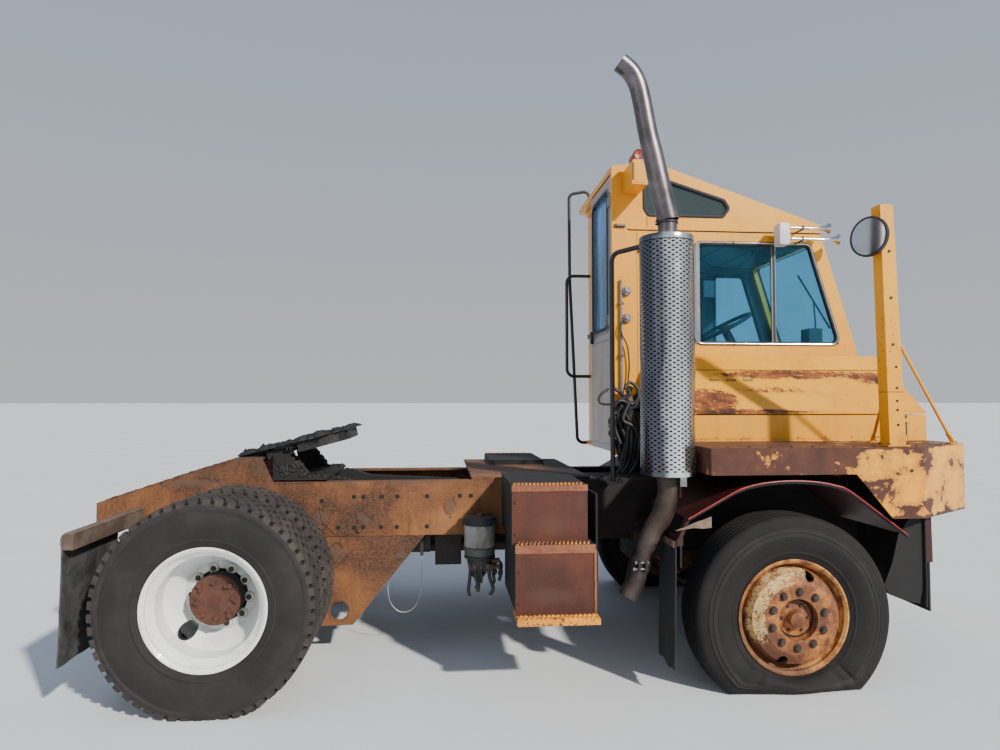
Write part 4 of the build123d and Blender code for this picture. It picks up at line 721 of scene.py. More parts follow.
def rear_tyre(name, s):
    sh = Shape()
    R = REAR_R
    for centre in (1.086, 0.743):
        side = [(0.288, 0.103), (0.300, 0.1055), (0.306, 0.109), (0.316, 0.1135), (0.328, 0.1185), (0.330, 0.1205), (0.337, 0.1212), (0.339, 0.1205), (0.344, 0.1222),
                (0.368, 0.1310), (0.385, 0.1355), (0.405, 0.1385), (0.422, 0.1392), (0.440, 0.1380), (0.455, 0.1355), (R - 0.058, 0.1325)]
        ridge = [(R - 0.056, 0.1325), (R - 0.052, 0.1345), (R - 0.044, 0.1348), (R - 0.036, 0.1335), (R - 0.028, 0.1300), (R - 0.0215, 0.1255)]
        for sgn in (-1, 1):
            sh.lathe(P(0, s * centre, REAR_Z), (0, 1, 0), [(r, sgn * w) for r, w in side + ridge[:1]], seg=128, mat=0, closed=False)
            sh.lathe(P(0, s * centre, REAR_Z), (0, 1, 0), [(r, sgn * w) for r, w in ridge], seg=128, mat=2, closed=False)
        base = [(R - 0.0215, 0.1255), (R - 0.019, 0.115), (R - 0.0175, 0.06), (R - 0.017, 0.0), (R - 0.0175, -0.06), (R - 0.019, -0.115), (R - 0.0215, -0.1255)]
        sh.lathe(P(0, s * centre, REAR_Z), (0, 1, 0), base, seg=128, mat=3, closed=False)
        # tread: shoulder lugs and three rows of blocks: inner w, outer w, share of pitch, phase, skew
        rows = ((-0.1275, -0.083, 0.66, 0.0, 0.10), (-0.073, -0.032, 0.64, 0.45, 0.40), (-0.022, 0.022, 0.62, 0.10, -0.35), (0.032, 0.073, 0.64, 0.55, 0.40), (0.083, 0.1275, 0.66, 0.2, -0.10))
        count = 54
        for w0, w1, fill, phase, skew in rows:
            for i in range(count):
                a0 = TAU * (i + phase) / count
                da = TAU / count * fill
                quad = [(a0, w0), (a0 + da, w0), (a0 + da + skew * TAU / count, w1), (a0 + skew * TAU / count, w1)]

                def at(a, w, r):
                    drop = 0.0035 * (abs(w) / 0.12) ** 2
                    return P(0, s * centre + w, REAR_Z) + Vector((math.cos(a), 0, math.sin(a))) * (r - drop)
                ca = sum(q[0] for q in quad) / 4
                cw = sum(q[1] for q in quad) / 4
                low = [at(a, w, R - 0.021) for a, w in quad]
                mid = [at(ca + (a - ca) * 0.97, cw + (w - cw) * 0.985, R - 0.004) for a, w in quad]
                top = [at(ca + (a - ca) * 0.86, cw + (w - cw) * 0.90, R) for a, w in quad]
                sh.loft([low, mid, top], 1)
        # short shoulder blocks between the lugs and the ridge
        for sgn in (-1, 1):
            for i in range(count):
                a = TAU * (i + (0.2 if sgn > 0 else 0.0)) / count
                quad = [(a, 0.8), (a + TAU / count * 0.66, 0.8)]
                ring = []
                for aa, _ in quad:
                    for r, w in ((R - 0.005, 0.1235), (R - 0.022, 0.1305), (R - 0.030, 0.1310)):
                        ring.append(P(0, s * centre + sgn * w, REAR_Z) + Vector((math.cos(aa), 0, math.sin(aa))) * r)
                inner = [p - Vector((0, sgn * 0.010, 0)) for p in ring]
                sh.put(ring + inner, [(0, 1, 4, 3), (1, 2, 5, 4), (0, 6, 7, 1), (1, 7, 8, 2), (3, 4, 10, 9), (4, 5, 11, 10), (0, 3, 9, 6)], 1)
    sh.v = [tuple(on_ground(Vector(p))) for p in sh.v]
    sh.object("rear_tyre_tread_" + name, ["tyre_rear", "tread", "tyre_ridge", "groove"], "rear_wheels_" + name, "tyre_rubber", stands_for=("rear_tyres_" + name,))


for name, s in SIDES:
    rear_tyre(name, s)


# ================================================================ front tyres, run flat
def front_tyre(name, s):
    sh = Shape()
    R, Z, CY = 0.527, 0.381, 1.035
    half = [(0.288, 0.103), (0.300, 0.1055), (0.306, 0.109), (0.316, 0.1135), (0.328, 0.1185), (0.330, 0.1210), (0.338, 0.1218), (0.340, 0.1208), (0.346, 0.1230),
            (0.368, 0.1310), (0.385, 0.1355), (0.405, 0.1388), (0.420, 0.1392), (0.434, 0.1382), (0.436, 0.1400), (0.441, 0.1402), (0.443, 0.1372), (0.456, 0.1345),
            (0.458, 0.1362), (0.463, 0.1360), (0.465, 0.1330), (R - 0.050, 0.1300), (R - 0.034, 0.1275), (R - 0.020, 0.1225), (R - 0.008, 0.1120), (R - 0.003, 0.1020)]
    rings_at = {(0.434, 0.1382), (0.436, 0.1400), (0.441, 0.1402), (0.456, 0.1345), (0.458, 0.1362), (0.463, 0.1360)}
    # round ribs with five grooves
    crown = []
    for gw in (0.076, 0.038, 0.0, -0.038, -0.076):
        crown += [(R - 0.002, gw + 0.0075), (R - 0.012, gw + 0.0045), (R - 0.012, gw - 0.0045), (R - 0.002, gw - 0.0075)]
    prof = [(r, w) for r, w in half] + crown + [(r, -w) for r, w in reversed(half)]
    seg = 200
    n = len(prof)
    verts = []
    for i in range(seg):
        a = TAU * i / seg                       # from straight down
        c = math.cos(a)
        d = a if a < math.pi else TAU - a
        ground = Z / c if c > 1e-6 else 9.0
        for r, w in prof:
            t = (r - 0.298) / (R - 0.298)
            sgn = 1 if w > 0 else -1
            if ground < R and r > 0.298:
                # squashed sector: the wall folds outwards above the ground
                gr = min(0.298 + (ground - 0.298) * min(1.0, 1.02 * t), ground)
                kk = 1.0 - (ground - 0.298) / (R - 0.298)
                bulge = 0.064 * kk * math.sin(math.pi * min(1.0, max(0.0, t))) ** 1.1 * (abs(w) / 0.139)
                fold = 0.014 * kk * math.sin(3 * math.pi * t + 0.6 * math.sin(5 * a)) * (abs(w) / 0.139)
                crease = -0.010 * math.exp(-((d - 0.60) / 0.05) ** 2) * math.sin(math.pi * max(0.0, min(1.0, t)))
                ww = w + sgn * (bulge + fold + crease * (abs(w) / 0.139) + 0.002 * math.sin(9 * a + 2) * t)
                rr = gr
            else:
                near = max(0.0, 1.0 - (d - 0.762) / 0.45)
                ww = w + sgn * 0.012 * smoothstep(near) * math.sin(math.pi * max(0.0, min(1.0, t))) * (abs(w) / 0.139)
                rr = r
            verts.append(P(2.946 + math.sin(a) * rr, s * CY + ww, max(0.0015, Z - math.cos(a) * rr)))
    faces, mats = [], []
    for i in range(seg):
        j = (i + 1) % seg
        for q in range(n - 1):
            faces.append((i * n + q, i * n + q + 1, j * n + q + 1, j * n + q))
            r, w = prof[q]
            mats.append(1 if (r, abs(w)) in rings_at else 0)
    sh.put(verts, faces)
    sh.m = mats
    sh.object("front_tyre_flat_" + name, ["tyre_front", "tyre_front_ring"], "front_wheel_" + name, "tyre_rubber", stands_for=("front_tyre_" + name,), angle=40)


for name, s in SIDES:
    front_tyre(name, s)

# ================================================================ wheel nuts and hub bolts
for name, s in SIDES:
    sh = Shape()
    ax = (0, s, 0)
    for i in range(10):
        a = TAU * (i + 0.894) / 10
        c = P(0.1429 * math.cos(a), s * 0.929, REAR_Z + 0.1429 * math.sin(a))
        sh.lathe(c, ax, [(0.026, 0.0), (0.0255, 0.003), (0.0205, 0.006), (0.0195, 0.0065), (0.0, 0.0065)], 24, 2, closed=False)
        # dark ring round each nut's flange: a gap line with painted shade
        sh.lathe(c, ax, [(0.0276, 0.0), (0.0273, 0.0016), (0.0262, 0.0016)], 28, 3, closed=False)
        sh.nut(c + Vector((0, s * 0.005, 0)), ax, 0.037, 0.008, 2, spin=i * 0.7)
        sh.lathe(c + Vector((0, s * 0.0132, 0)), ax, [(0.0145, 0.0), (0.0142, 0.0006), (0.0, 0.0006)], 20, 3, closed=False)
        sh.rod(c, c + Vector((0, s * 0.017, 0)), 0.0115, 14, 1, r2=0.0105)
    for i in range(8):
        a = TAU * (i + 0.15) / 8
        c = P(0.088 * math.cos(a), s * 1.027, REAR_Z + 0.088 * math.sin(a))
        sh.lathe(c, ax, [(0.0175, 0.0), (0.017, 0.0018), (0.0, 0.0018)], 20, 0, closed=False)
        sh.nut(c, ax, 0.023, 0.011, 0, spin=i * 1.1)
        sh.lathe(c + Vector((0, s * 0.011, 0)), ax, [(0.0085, 0.0), (0.0080, 0.004), (0.0, 0.0045)], 14, 0, closed=False)
    # raised plate with ridges in the middle of the hub end, rolled edge, flange rings behind
    sh.lathe(P(0, s * 1.027, REAR_Z), ax, [(0.058, 0.0), (0.056, 0.0035), (0.050, 0.004), (0.0, 0.0045)], 48, 0, closed=False)
    for k2 in range(3):
        u = (k2 - 1) * 0.018
        sh.box(-0.030 + u * 0.3, 0.030 + u * 0.3, s * 1.030, s * 1.0345, REAR_Z + u - 0.003, REAR_Z + u + 0.003, 0, Matrix.Rotation(0.5, 3, "Y"))
    sh.lathe(P(0, s * 1.004, REAR_Z), ax, [(0.1185, 0.0), (0.1235, 0.001), (0.1240, 0.020), (0.1205, 0.0242), (0.1150, 0.0242)], 72, 0, closed=False)
    # near-black sleeve over the hub barrel behind the nuts: painted shade
    sh.lathe(P(0, s * 0.9055, REAR_Z), ax, [(0.1262, 0.0), (0.1246, 0.095)], 72, 3, closed=False)
    for zz in (0.947, 0.965, 0.985):
        sh.lathe(P(0, s * zz, REAR_Z), ax, [(0.118, 0.0), (0.1232, 0.002), (0.1232, 0.006), (0.118, 0.008)], 56, 0, closed=False)
    sh.object("rear_wheel_fasteners_" + name, ["hub", "bolt", "nut_white", "gap"], "rear_wheels_" + name, "hub_rust", angle=40)

    sh = Shape()
    for i in range(10):
        a = TAU * (i + 0.40) / 10
        c = P(2.946 + 0.1429 * math.cos(a), s * 1.190, 0.381 + 0.1429 * math.sin(a))
        sh.lathe(c, ax, [(0.0225, 0.0), (0.021, 0.003), (0.0, 0.003)], 20, 0, closed=False)
        sh.nut(c + Vector((0, s * 0.002, 0)), ax, 0.031, 0.013, 0, spin=i * 0.9)
        sh.rod(c, c + Vector((0, s * 0.017, 0)), 0.0095, 14, 0)
    sh.lathe(P(2.946, s * 1.150, 0.381), ax, [(0.098, 0.0), (0.052, 0.002), (0.046, 0.006), (0.0395, 0.030), (0.0385, 0.038), (0.034, 0.0415), (0.0, 0.043)], 40, 1, closed=False)
    for i in range(6):
        a = TAU * i / 6
        sh.nut(P(2.946 + 0.070 * math.cos(a), s * 1.150, 0.381 + 0.070 * math.sin(a)), ax, 0.016, 0.008, 0)
    sh.lathe(P(2.946, s * 1.1525, 0.381), ax, [(0.1005, 0.0), (0.0905, 0.0)], 48, 3, closed=False)
    # near-black shield behind the disc, seen through its hand holes: painted shade
    sh.lathe(P(2.946, s * 1.018, 0.381), ax, [(0.2056, 0.0), (0.2500, 0.0), (0.2510, 0.0015), (0.2500, 0.0030), (0.2056, 0.0030)], 72, 4, closed=False)
    sh.object("front_wheel_fasteners_" + name, ["bolt", "rim_rusty", "nut_white", "gap", "shadow"], "front_wheel_" + name, "hub_rust", angle=40)

# ---- built details start
# ================================================================ muffler guard, stack and tail pipe
MX, MY, MR, MZ0, MZ1 = 2.338, -0.985, 0.147, 1.105, 2.388


def guard_radius(z, a):
    """Slight dents: a is measured from +X towards +Y."""
    r = MR - 0.0012
    r -= 0.006 * math.exp(-((z - 1.62) / 0.10) ** 2) * max(0.0, math.cos(a - math.radians(200))) ** 2
    r -= 0.005 * math.exp(-((z - 2.25) / 0.07) ** 2) * max(0.0, math.cos(a - math.radians(250))) ** 2
    r -= 0.004 * math.exp(-((z - 1.42) / 0.12) ** 2) * max(0.0, math.cos(a - math.radians(330))) ** 2
    return r - 0.0015 * (1 + math.sin(7 * z + 2 * a)) * 0.5


def guard():
    sh = Shape()
    cols, pitch = 44, 0.0246
    z_lo, z_hi = MZ0 + 0.016, MZ1 - 0.020
    rows = int((z_hi - z_lo) / pitch)
    us = (0.0, 0.13, 0.38, 0.62, 0.87, 1.0)
    vs = (0.0, 0.33, 0.67, 1.0)

    def at(u, z, inset=0.0):
        a = TAU * u / cols
        r = guard_radius(z, a) - inset
        return P(MX + math.cos(a) * r, MY + math.sin(a) * r, z)
    for c in range(cols):
        shift = 0.5 * pitch if c % 2 else 0.0
        for k in range(-1 if c % 2 else 0, rows):
            z0, z1 = max(z_lo, z_lo + k * pitch + shift), min(z_hi, z_lo + (k + 1) * pitch + shift)
            if z1 - z0 < 0.004:
                continue
            whole = z1 - z0 > 0.9 * pitch
            grid = [[at(c + u, z0 + (z1 - z0) * v) for u in us] for v in vs]
            base = len(sh.v)
            verts = [p for row in grid for p in row]
            faces = []
            for j in range(3):
                for i in range(5):
                    if whole and j == 1 and 0 < i < 4:
                        continue
                    faces.append((j * 6 + i, j * 6 + i + 1, (j + 1) * 6 + i + 1, (j + 1) * 6 + i))
            sh.put(verts, faces, 0)
            if whole:
                # walls of the slot
                ring = [(us[i], vs[1]) for i in range(1, 5)] + [(us[i], vs[2]) for i in range(4, 0, -1)]
                outer = [at(c + u, z0 + (z1 - z0) * v) for u, v in ring]
                inner = [at(c + u, z0 + (z1 - z0) * v, 0.0018) for u, v in ring]
                sh.put(outer + inner, [(i, (i + 1) % 8, 8 + (i + 1) % 8, 8 + i) for i in range(8)], 0)
    # plain bands at both ends, rolled in at the top
    for prof in ([(MR - 0.0012, MZ0), (MR - 0.0012, z_lo + 0.0005)], [(MR - 0.0012, z_hi - 0.012), (MR - 0.0008, MZ1 - 0.006), (MR - 0.004, MZ1 - 0.001), (MR - 0.012, MZ1)]):
        sh.lathe(P(MX, MY, 0), (0, 0, 1), prof, 84, 0, closed=False)
    # lengthwise seam with spot welds
    a = math.radians(232)
    for k in range(26):
        z = 1.15 + k * 0.048
        sh.rod(P(MX + math.cos(a) * 0.1455, MY + math.sin(a) * 0.1455, z), P(MX + math.cos(a) * 0.1475, MY + math.sin(a) * 0.1475, z), 0.004, 8, 0)
    # closed ends with a pressed step, dark silencer inside
    sh.lathe(P(MX, MY, 0), (0, 0, 1), [(MR - 0.012, MZ1), (MR - 0.020, MZ1 - 0.003), (0.090, MZ1 - 0.003), (0.080, MZ1 - 0.001), (0.0, MZ1 - 0.001)], 72, 2, closed=False)
    sh.lathe(P(MX, MY, 0), (0, 0, 1), [(MR - 0.0012, MZ0), (MR - 0.020, MZ0), (0.070, MZ0 + 0.001), (0.0, MZ0 + 0.001)], 72, 2, closed=False)
    sh.lathe(P(MX, MY, 0), (0, 0, 1), [(0.0, MZ0 + 0.010), (0.118, MZ0 + 0.014), (0.122, MZ0 + 0.03), (0.122, MZ1 - 0.03), (0.118, MZ1 - 0.014), (0.0, MZ1 - 0.010)], 48, 1, closed=False)
    sh.object("perforated_guard", ["guard", "silencer", "stack"], "chassis", "muffler_steel", angle=40, stands_for=("muffler",))


guard()


def frustum_pipe(sh, pts, radii, seg, mat, n=8, cut=None):
    """Smooth tapered pipe; cut is not used."""
    line = smooth_line(pts, n)
    rad = []
    for i in range(len(line)):
        t = i / n
        k2 = min(int(t), len(radii) - 2)
        rad.append(radii[k2] + (radii[k2 + 1] - radii[k2]) * smoothstep(t - k2))
    sh.pipe(line, rad, seg, mat, caps=False)


sh = Shape()
STACK_LINE = [P(x, MY, z) for x, z in ((2.348, 2.485), (2.3285, 2.570), (2.307, 2.665), (2.2745, 2.815), (2.2385, 2.973), (2.2150, 3.105), (2.188, 3.222), (2.148, 3.296), (2.090, 3.345))]
frustum_pipe(sh, STACK_LINE, (0.0585, 0.0587, 0.0587, 0.0560, 0.0525, 0.0515, 0.0510, 0.0515, 0.0525), 40, 0)
frustum_pipe(sh, [p + Vector((0.0, 0, 0)) for p in STACK_LINE], [r - 0.003 for r in (0.0585, 0.0587, 0.0587, 0.0560, 0.0525, 0.0515, 0.0510, 0.0515, 0.0525)], 40, 1)
# near-upright cut at the tip, lower lip of the flare, and the collar that the pipe sits in
sh.lathe(P(2.346, MY, 0), (0, 0, 1), [(0.0495, 2.470), (0.0520, 2.470), (0.0520, 2.392), (0.066, 2.389), (0.066, 2.386)], 44, 0, closed=False)
sh.lathe(P(2.346, MY, 0), (0, 0, 1), [(0.054, 2.462), (0.0575, 2.464), (0.0575, 2.474), (0.054, 2.476)], 44, 3, closed=True)
tip = STACK_LINE[-1]
sh.lathe(P(2.350, MY, 2.482), (-0.13, 0, 0.99), [(0.0585, 0.000), (0.0600, 0.001), (0.0600, 0.014), (0.0586, 0.015)], 44, 0, closed=False)
# clamp bolt with its lugs
for dz in (-0.008, 0.008):
    sh.box(2.280, 2.300, MY - 0.012, MY + 0.012, 2.466 + dz, 2.472 + dz, 3)
sh.rod(P(2.288, MY, 2.452), P(2.288, MY, 2.488), 0.0045, 10, 2)
sh.object("exhaust_stack", ["stack", "gap", "bolt", "black"], "chassis", "pipe_steel", angle=35, stands_for=("exhaust_pipes",))

sh = Shape()
TAIL_LINE = [P(x, MY, z) for x, z in ((2.338, 1.108), (2.338, 1.055), (2.337, 0.996), (2.307, 0.901), (2.257, 0.811), (2.202, 0.706), (2.168, 0.600), (2.148, 0.530), (2.112, 0.462))]
frustum_pipe(sh, TAIL_LINE, (0.0575, 0.0575, 0.0575, 0.0575, 0.0575, 0.0565, 0.0530, 0.0520, 0.0525), 36, 0)
frustum_pipe(sh, TAIL_LINE, [r - 0.0025 for r in (0.0575, 0.0575, 0.0575, 0.0575, 0.0575, 0.0565, 0.0530, 0.0520, 0.0525)], 36, 1)
sh.lathe(P(MX, MY, 0), (0, 0, 1), [(0.058, 1.075), (0.0605, 1.076), (0.0605, 1.094), (0.070, 1.102), (0.070, 1.106)], 40, 0, closed=False)
d = (TAIL_LINE[5] - TAIL_LINE[6]).normalized()
mid = TAIL_LINE[5] * 0.35 + TAIL_LINE[6] * 0.65
sh.lathe(mid, d, [(0.0545, -0.030), (0.0590, -0.028), (0.0595, 0.0), (0.0600, 0.028), (0.0580, 0.031)], 36, 2, closed=False)
for k2, off in enumerate((-0.017, 0.017)):
    c = mid + d * off + Vector((-0.010, -0.062, 0))
    sh.rod(c + Vector((-0.038, 0, 0)), c + Vector((0.030, 0, 0)), 0.0050, 10, 3)
    sh.nut(c + Vector((0.022, 0, 0)), (1, 0, 0), 0.015, 0.010, 3)
    sh.nut(c + Vector((-0.040, 0, 0)), (1, 0, 0), 0.015, 0.010, 3)
sh.box(mid.x - XR - 0.030, mid.x - XR - 0.018, MY - 0.078, MY - 0.052, mid.z - 0.024, mid.z + 0.024, 2)
sh.box(mid.x - XR + 0.008, mid.x - XR + 0.020, MY - 0.078, MY - 0.052, mid.z - 0.024, mid.z + 0.024, 2)
# hanger strap and its bright tab
sh.box(2.372, 2.404, MY - 0.020, MY - 0.012, 0.985, 1.090, 4)
sh.box(2.388, 2.424, MY - 0.046, MY - 0.043, 1.045, 1.110, 3)
sh.object("tail_pipe", ["tailpipe", "gap", "dark", "zinc", "brown"], "chassis", "pipe_steel", angle=35)

# stand: upright black tube bolted to the guard's side by a small bracket
sh = Shape()
stand = [P(2.128, -0.62, 1.035), P(2.128, -0.62, 1.5), P(2.128, -0.62, 2.0), P(2.128, -0.62, 2.325)] + \
        [P(2.128, -0.62, 2.325) + Vector((0.0296 * (1 - math.cos(t)), -0.0521 * (1 - math.cos(t)), 0.047 * math.sin(t))) for t in (0.4, 0.8, 1.2, 1.5)] + [P(2.215, -0.774, 2.372), P(2.246, -0.828, 2.372)]
sh.pipe(stand, 0.0145, 18, 0)
sh.box(2.080, 2.180, -0.660, -0.400, 1.020, 1.035, 0)
sh.box(2.236, 2.262, -0.870, -0.836, 2.338, 2.386, 0, Matrix.Rotation(math.radians(-30), 3, "Z"))
for dz in (-0.014, 0.014):
    sh.nut(P(2.236, -0.866, 2.362 + dz), (-0.5, -0.86, 0), 0.013, 0.010, 1)
for dx in (-0.03, 0.03):
    for dy in (-0.05, 0.16):
        sh.nut(P(2.13 + dx, -0.60 + dy, 1.035), (0, 0, 1), 0.022, 0.013, 1)
sh.object("guard_stand", ["black", "bolt"], "chassis", "black_tube", angle=35, stands_for=("muffler_stand",))


# ================================================================ window frames
def rounded_loop(pts, r, off, n=7):
    """Points of a closed (x, z) outline with rounded corners, grown by off."""
    area = sum(pts[i][0] * pts[(i + 1) % len(pts)][1] - pts[(i + 1) % len(pts)][0] * pts[i][1] for i in range(len(pts)))
    if area < 0:
        pts = list(reversed(pts))
    out = []
    m = len(pts)
    for i in range(m):
        a, b, c = (Vector(pts[i - 1]), Vector(pts[i]), Vector(pts[(i + 1) % m]))
        d0, d1 = (b - a).normalized(), (c - b).normalized()
        n0, n1 = Vector((d0.y, -d0.x)), Vector((d1.y, -d1.x))
        half = (n0 + n1).normalized()
        centre = b - half * (r / max(0.2, half.dot(n0)))
        a0, a1 = math.atan2(n0.y, n0.x), math.atan2(n1.y, n1.x)
        if a1 < a0:
            a1 += TAU
        for k2 in range(n + 1):
            t = a0 + (a1 - a0) * k2 / n
            out.append((centre.x + math.cos(t) * (r + off), centre.y + math.sin(t) * (r + off)))
    return out


def frame_ring(sh, pts, r, profile, mat, wrap=True):
    """profile is (growth, y) all round the section."""
    loops = [[P(x, y, z) for x, z in rounded_loop(pts, r, off)] for off, y in profile]
    n, m = len(loops[0]), len(loops)
    verts = [p for lp in loops for p in lp]
    faces = []
    for i in range(m if wrap else m - 1):
        j = (i + 1) % m
        for a in range(n):
            b = (a + 1) % n
            faces.append((i * n + a, j * n + a, j * n + b, i * n + b))
    sh.put(verts, faces, mat)


SIDE_WIN = [(2.835, 1.890), (3.848, 1.890), (3.640, 2.570), (2.835, 2.570)]
UPPER_WIN = [(2.485, 2.985), (2.655, 2.985), (3.042, 2.864), (3.074, 2.810), (3.030, 2.752), (2.512, 2.752), (2.485, 2.800)]
LEFT_WINS = ([(3.400, 1.900), (3.848, 1.900), (3.655, 2.546), (3.400, 2.546)], [(2.520, 1.900), (3.280, 1.900), (3.280, 2.546), (2.520, 2.546)])
sh = Shape()
# bright outer strip, black rubber outside and inside it
frame_ring(sh, SIDE_WIN, 0.045, [(-0.002, -0.1005), (-0.001, -0.1085), (0.002, -0.1110), (0.0075, -0.1110), (0.0100, -0.1085), (0.0100, -0.1005)], 0)
frame_ring(sh, SIDE_WIN, 0.045, [(0.0098, -0.1005), (0.0098, -0.1060), (0.0130, -0.1065), (0.0150, -0.1040), (0.0150, -0.1005)], 1)
frame_ring(sh, SIDE_WIN, 0.045, [(-0.003, -0.0990), (-0.003, -0.1070), (-0.010, -0.1060), (-0.012, -0.0925), (-0.012, -0.0800), (-0.001, -0.0800)], 1)
# upright at the rear of the pane, divider of the sliding panes and their lower channel
sh.box(2.834, 2.862, -0.1085, -0.0935, 1.888, 2.572, 2)
sh.box(3.3655, 3.3725, -0.1080, -0.0930, 1.893, 2.568, 2)
sh.box(3.3725, 3.3900, -0.1065, -0.0930, 1.893, 2.568, 1)
sh.box(3.3900, 3.3950, -0.1080, -0.0930, 1.893, 2.568, 2)
sh.box(2.850, 3.840, -0.1050, -0.0925, 1.889, 1.900, 1)
sh.box(3.30, 3.48, -0.1040, -0.0925, 2.552, 2.570, 1)
# joint clips and drain notches in the bright strip
for x, z in ((3.10, 2.5765), (3.10, 1.8835)):
    sh.box(x - 0.004, x + 0.004, -0.1135, -0.1030, z - 0.009, z + 0.009, 1)
# inner channel strip with its handle, running up the front edge
a0, a1 = Vector((3.700, 2.452)), Vector((3.805, 2.060))
d = (a1 - a0).normalized()
nrm = Vector((-d.y, d.x))
for off, w, m in ((0.0, 0.010, 1), (0.020, 0.006, 1)):
    q = [a0 + nrm * (off - w), a0 + nrm * (off + w), a1 + nrm * (off + w), a1 + nrm * (off - w)]
    sh.loft([[P(p.x, -0.082, p.y) for p in q], [P(p.x, -0.070, p.y) for p in q]], m)
for t in (0.03, 0.5, 0.97):
    c = a0.lerp(a1, t) + nrm * 0.010
    sh.box(c.x - 0.018, c.x + 0.018, -0.084, -0.068, c.y - 0.010, c.y + 0.010, 1)
sh.object("side_window_frame", ["chrome", "rubber", "grey_frame"], "cab", "black_tube", angle=45)

sh = Shape()
for sgn, y in ((-1, -0.100), (1, 1.000)):
    frame_ring(sh, UPPER_WIN, 0.028, [(-0.010, y - sgn * 0.008), (-0.010, y + sgn * 0.004), (-0.004, y + sgn * 0.0075), (0.006, y + sgn * 0.0075), (0.011, y + sgn * 0.003), (0.011, y - sgn * 0.001)], 0)
for win in LEFT_WINS:
    frame_ring(sh, win, 0.045, [(-0.012, 0.990), (-0.012, 1.004), (-0.004, 1.0075), (0.008, 1.0075), (0.013, 1.003), (0.013, 0.999)], 0)
    frame_ring(sh, win, 0.045, [(-0.010, 0.970), (-0.010, 0.958), (-0.002, 0.953), (0.010, 0.955), (0.012, 0.961)], 0, wrap=False)
sh.object("window_rubbers", ["rubber"], "cab", "black_tube", angle=45)

# windscreen rubber on the sloping front
sh = Shape()
A, B = Vector((3.955, 0, 1.885)), Vector((3.737, 0, 2.590))
up = (B - A).normalized()
out = Vector((up.z, 0, -up.x))
L = (B - A).length
for prof in ([(0.0, 0.002), (0.0, 0.012), (0.010, 0.014), (0.018, 0.008), (0.018, 0.002)],):
    loops = []
    for off, h in prof:
        loop = []
        for y, z in rounded_loop([(0.0, 0.0), (0.9, 0.0), (0.9, L), (0.0, L)], 0.03, off - 0.004, 5):
            loop.append(P(0, 0, 0) + A + Vector((0, y, 0)) + up * z + out * (h + 0.008))
        loops.append(loop)
    n, m = len(loops[0]), len(loops)
    sh.put([p for lp in loops for p in lp], [(i * n + a, i * n + (a + 1) % n, ((i + 1) % m) * n + (a + 1) % n, ((i + 1) % m) * n + a) for i in range(m) for a in range(n)], 0)
# wiper arm and blade
root = A + up * 0.02 + out * 0.03 + Vector((0, 0.45, 0)) + P(0, 0, 0)
end = A + up * 0.36 + out * 0.034 + Vector((0, 0.28, 0)) + P(0, 0, 0)
sh.pipe([root, root.lerp(end, 0.5) + out * 0.012, end], 0.006, 10, 0)
bl = Vector((0, 0.10, 0)) + up * 0.22
sh.pipe([end - bl, end, end + bl], 0.007, 8, 0)
sh.rod(root - out * 0.03, root + out * 0.012, 0.018, 18, 0)
sh.object("windscreen_rubber", ["rubber"], "cab", "black_tube", angle=45)

# rear door: grey frame round the tall window, hinges, latch and lower panel seams
sh = Shape()
W = [(0.030, 2.000), (0.490, 2.000), (0.490, 2.950), (0.030, 2.950)]
for prof, mat in (([(-0.012, 0.004), (-0.012, 0.010), (0.000, 0.012), (0.012, 0.009), (0.014, 0.001)], 0), ([(0.012, 0.001), (0.012, 0.006), (0.028, 0.005), (0.030, 0.001)], 1)):
    loops = [[Vector((2.268 + XR - h, y, z)) for y, z in rounded_loop(W, 0.055, off, 6)] for off, h in prof]
    n, m = len(loops[0]), len(loops)
    sh.put([p for lp in loops for p in lp], [(i * n + a, i * n + (a + 1) % n, (i + 1) * n + (a + 1) % n, (i + 1) * n + a) for i in range(m - 1) for a in range(n)], mat)
for z in (1.32, 2.05, 2.86):
    sh.rod(P(2.262, -0.052, z - 0.05), P(2.262, -0.052, z + 0.05), 0.009, 14, 1)
    sh.box(2.258, 2.268, -0.045, 0.020, z - 0.035, z + 0.035, 1)
sh.box(2.252, 2.268, 0.505, 0.545, 1.93, 2.02, 0)
sh.pipe([P(2.236, 0.525, 2.00), P(2.232, 0.515, 1.97), P(2.236, 0.45, 1.965)], 0.008, 12, 1)
for z in (1.20, 1.92):
    sh.box(2.2655, 2.2690, -0.02, 0.53, z - 0.004, z + 0.004, 1)
sh.object("door_trim", ["rubber", "grey_frame"], "rear_door", "black_tube", angle=45)

# ================================================================ side of the cab, horns and lamps
sh = Shape()
CY = -0.100
# grey upright conduit with its two cast fittings
sh.rod(P(2.3165, CY - 0.014, 1.262), P(2.3165, CY - 0.014, 2.309), 0.0095, 16, 0)
for z in (2.2325, 2.0505):
    sh.lathe(P(2.355, CY, z), (0, -1, 0), [(0.031, 0.0), (0.031, 0.016), (0.026, 0.021), (0.012, 0.022), (0.011, 0.030), (0.0, 0.031)], 28, 0, closed=False)
    for t in range(4):
        a = TAU * (t + 0.5) / 4
        sh.nut(P(2.355 + 0.021 * math.cos(a), CY - 0.021, z + 0.021 * math.sin(a)), (0, -1, 0), 0.008, 0.005, 1)
    sh.rod(P(2.3165, CY - 0.014, z), P(2.355, CY - 0.014, z), 0.011, 12, 1)
for z in (1.50, 1.80, 2.15):
    sh.box(2.300, 2.334, CY - 0.026, CY - 0.001, z - 0.008, z + 0.008, 1)
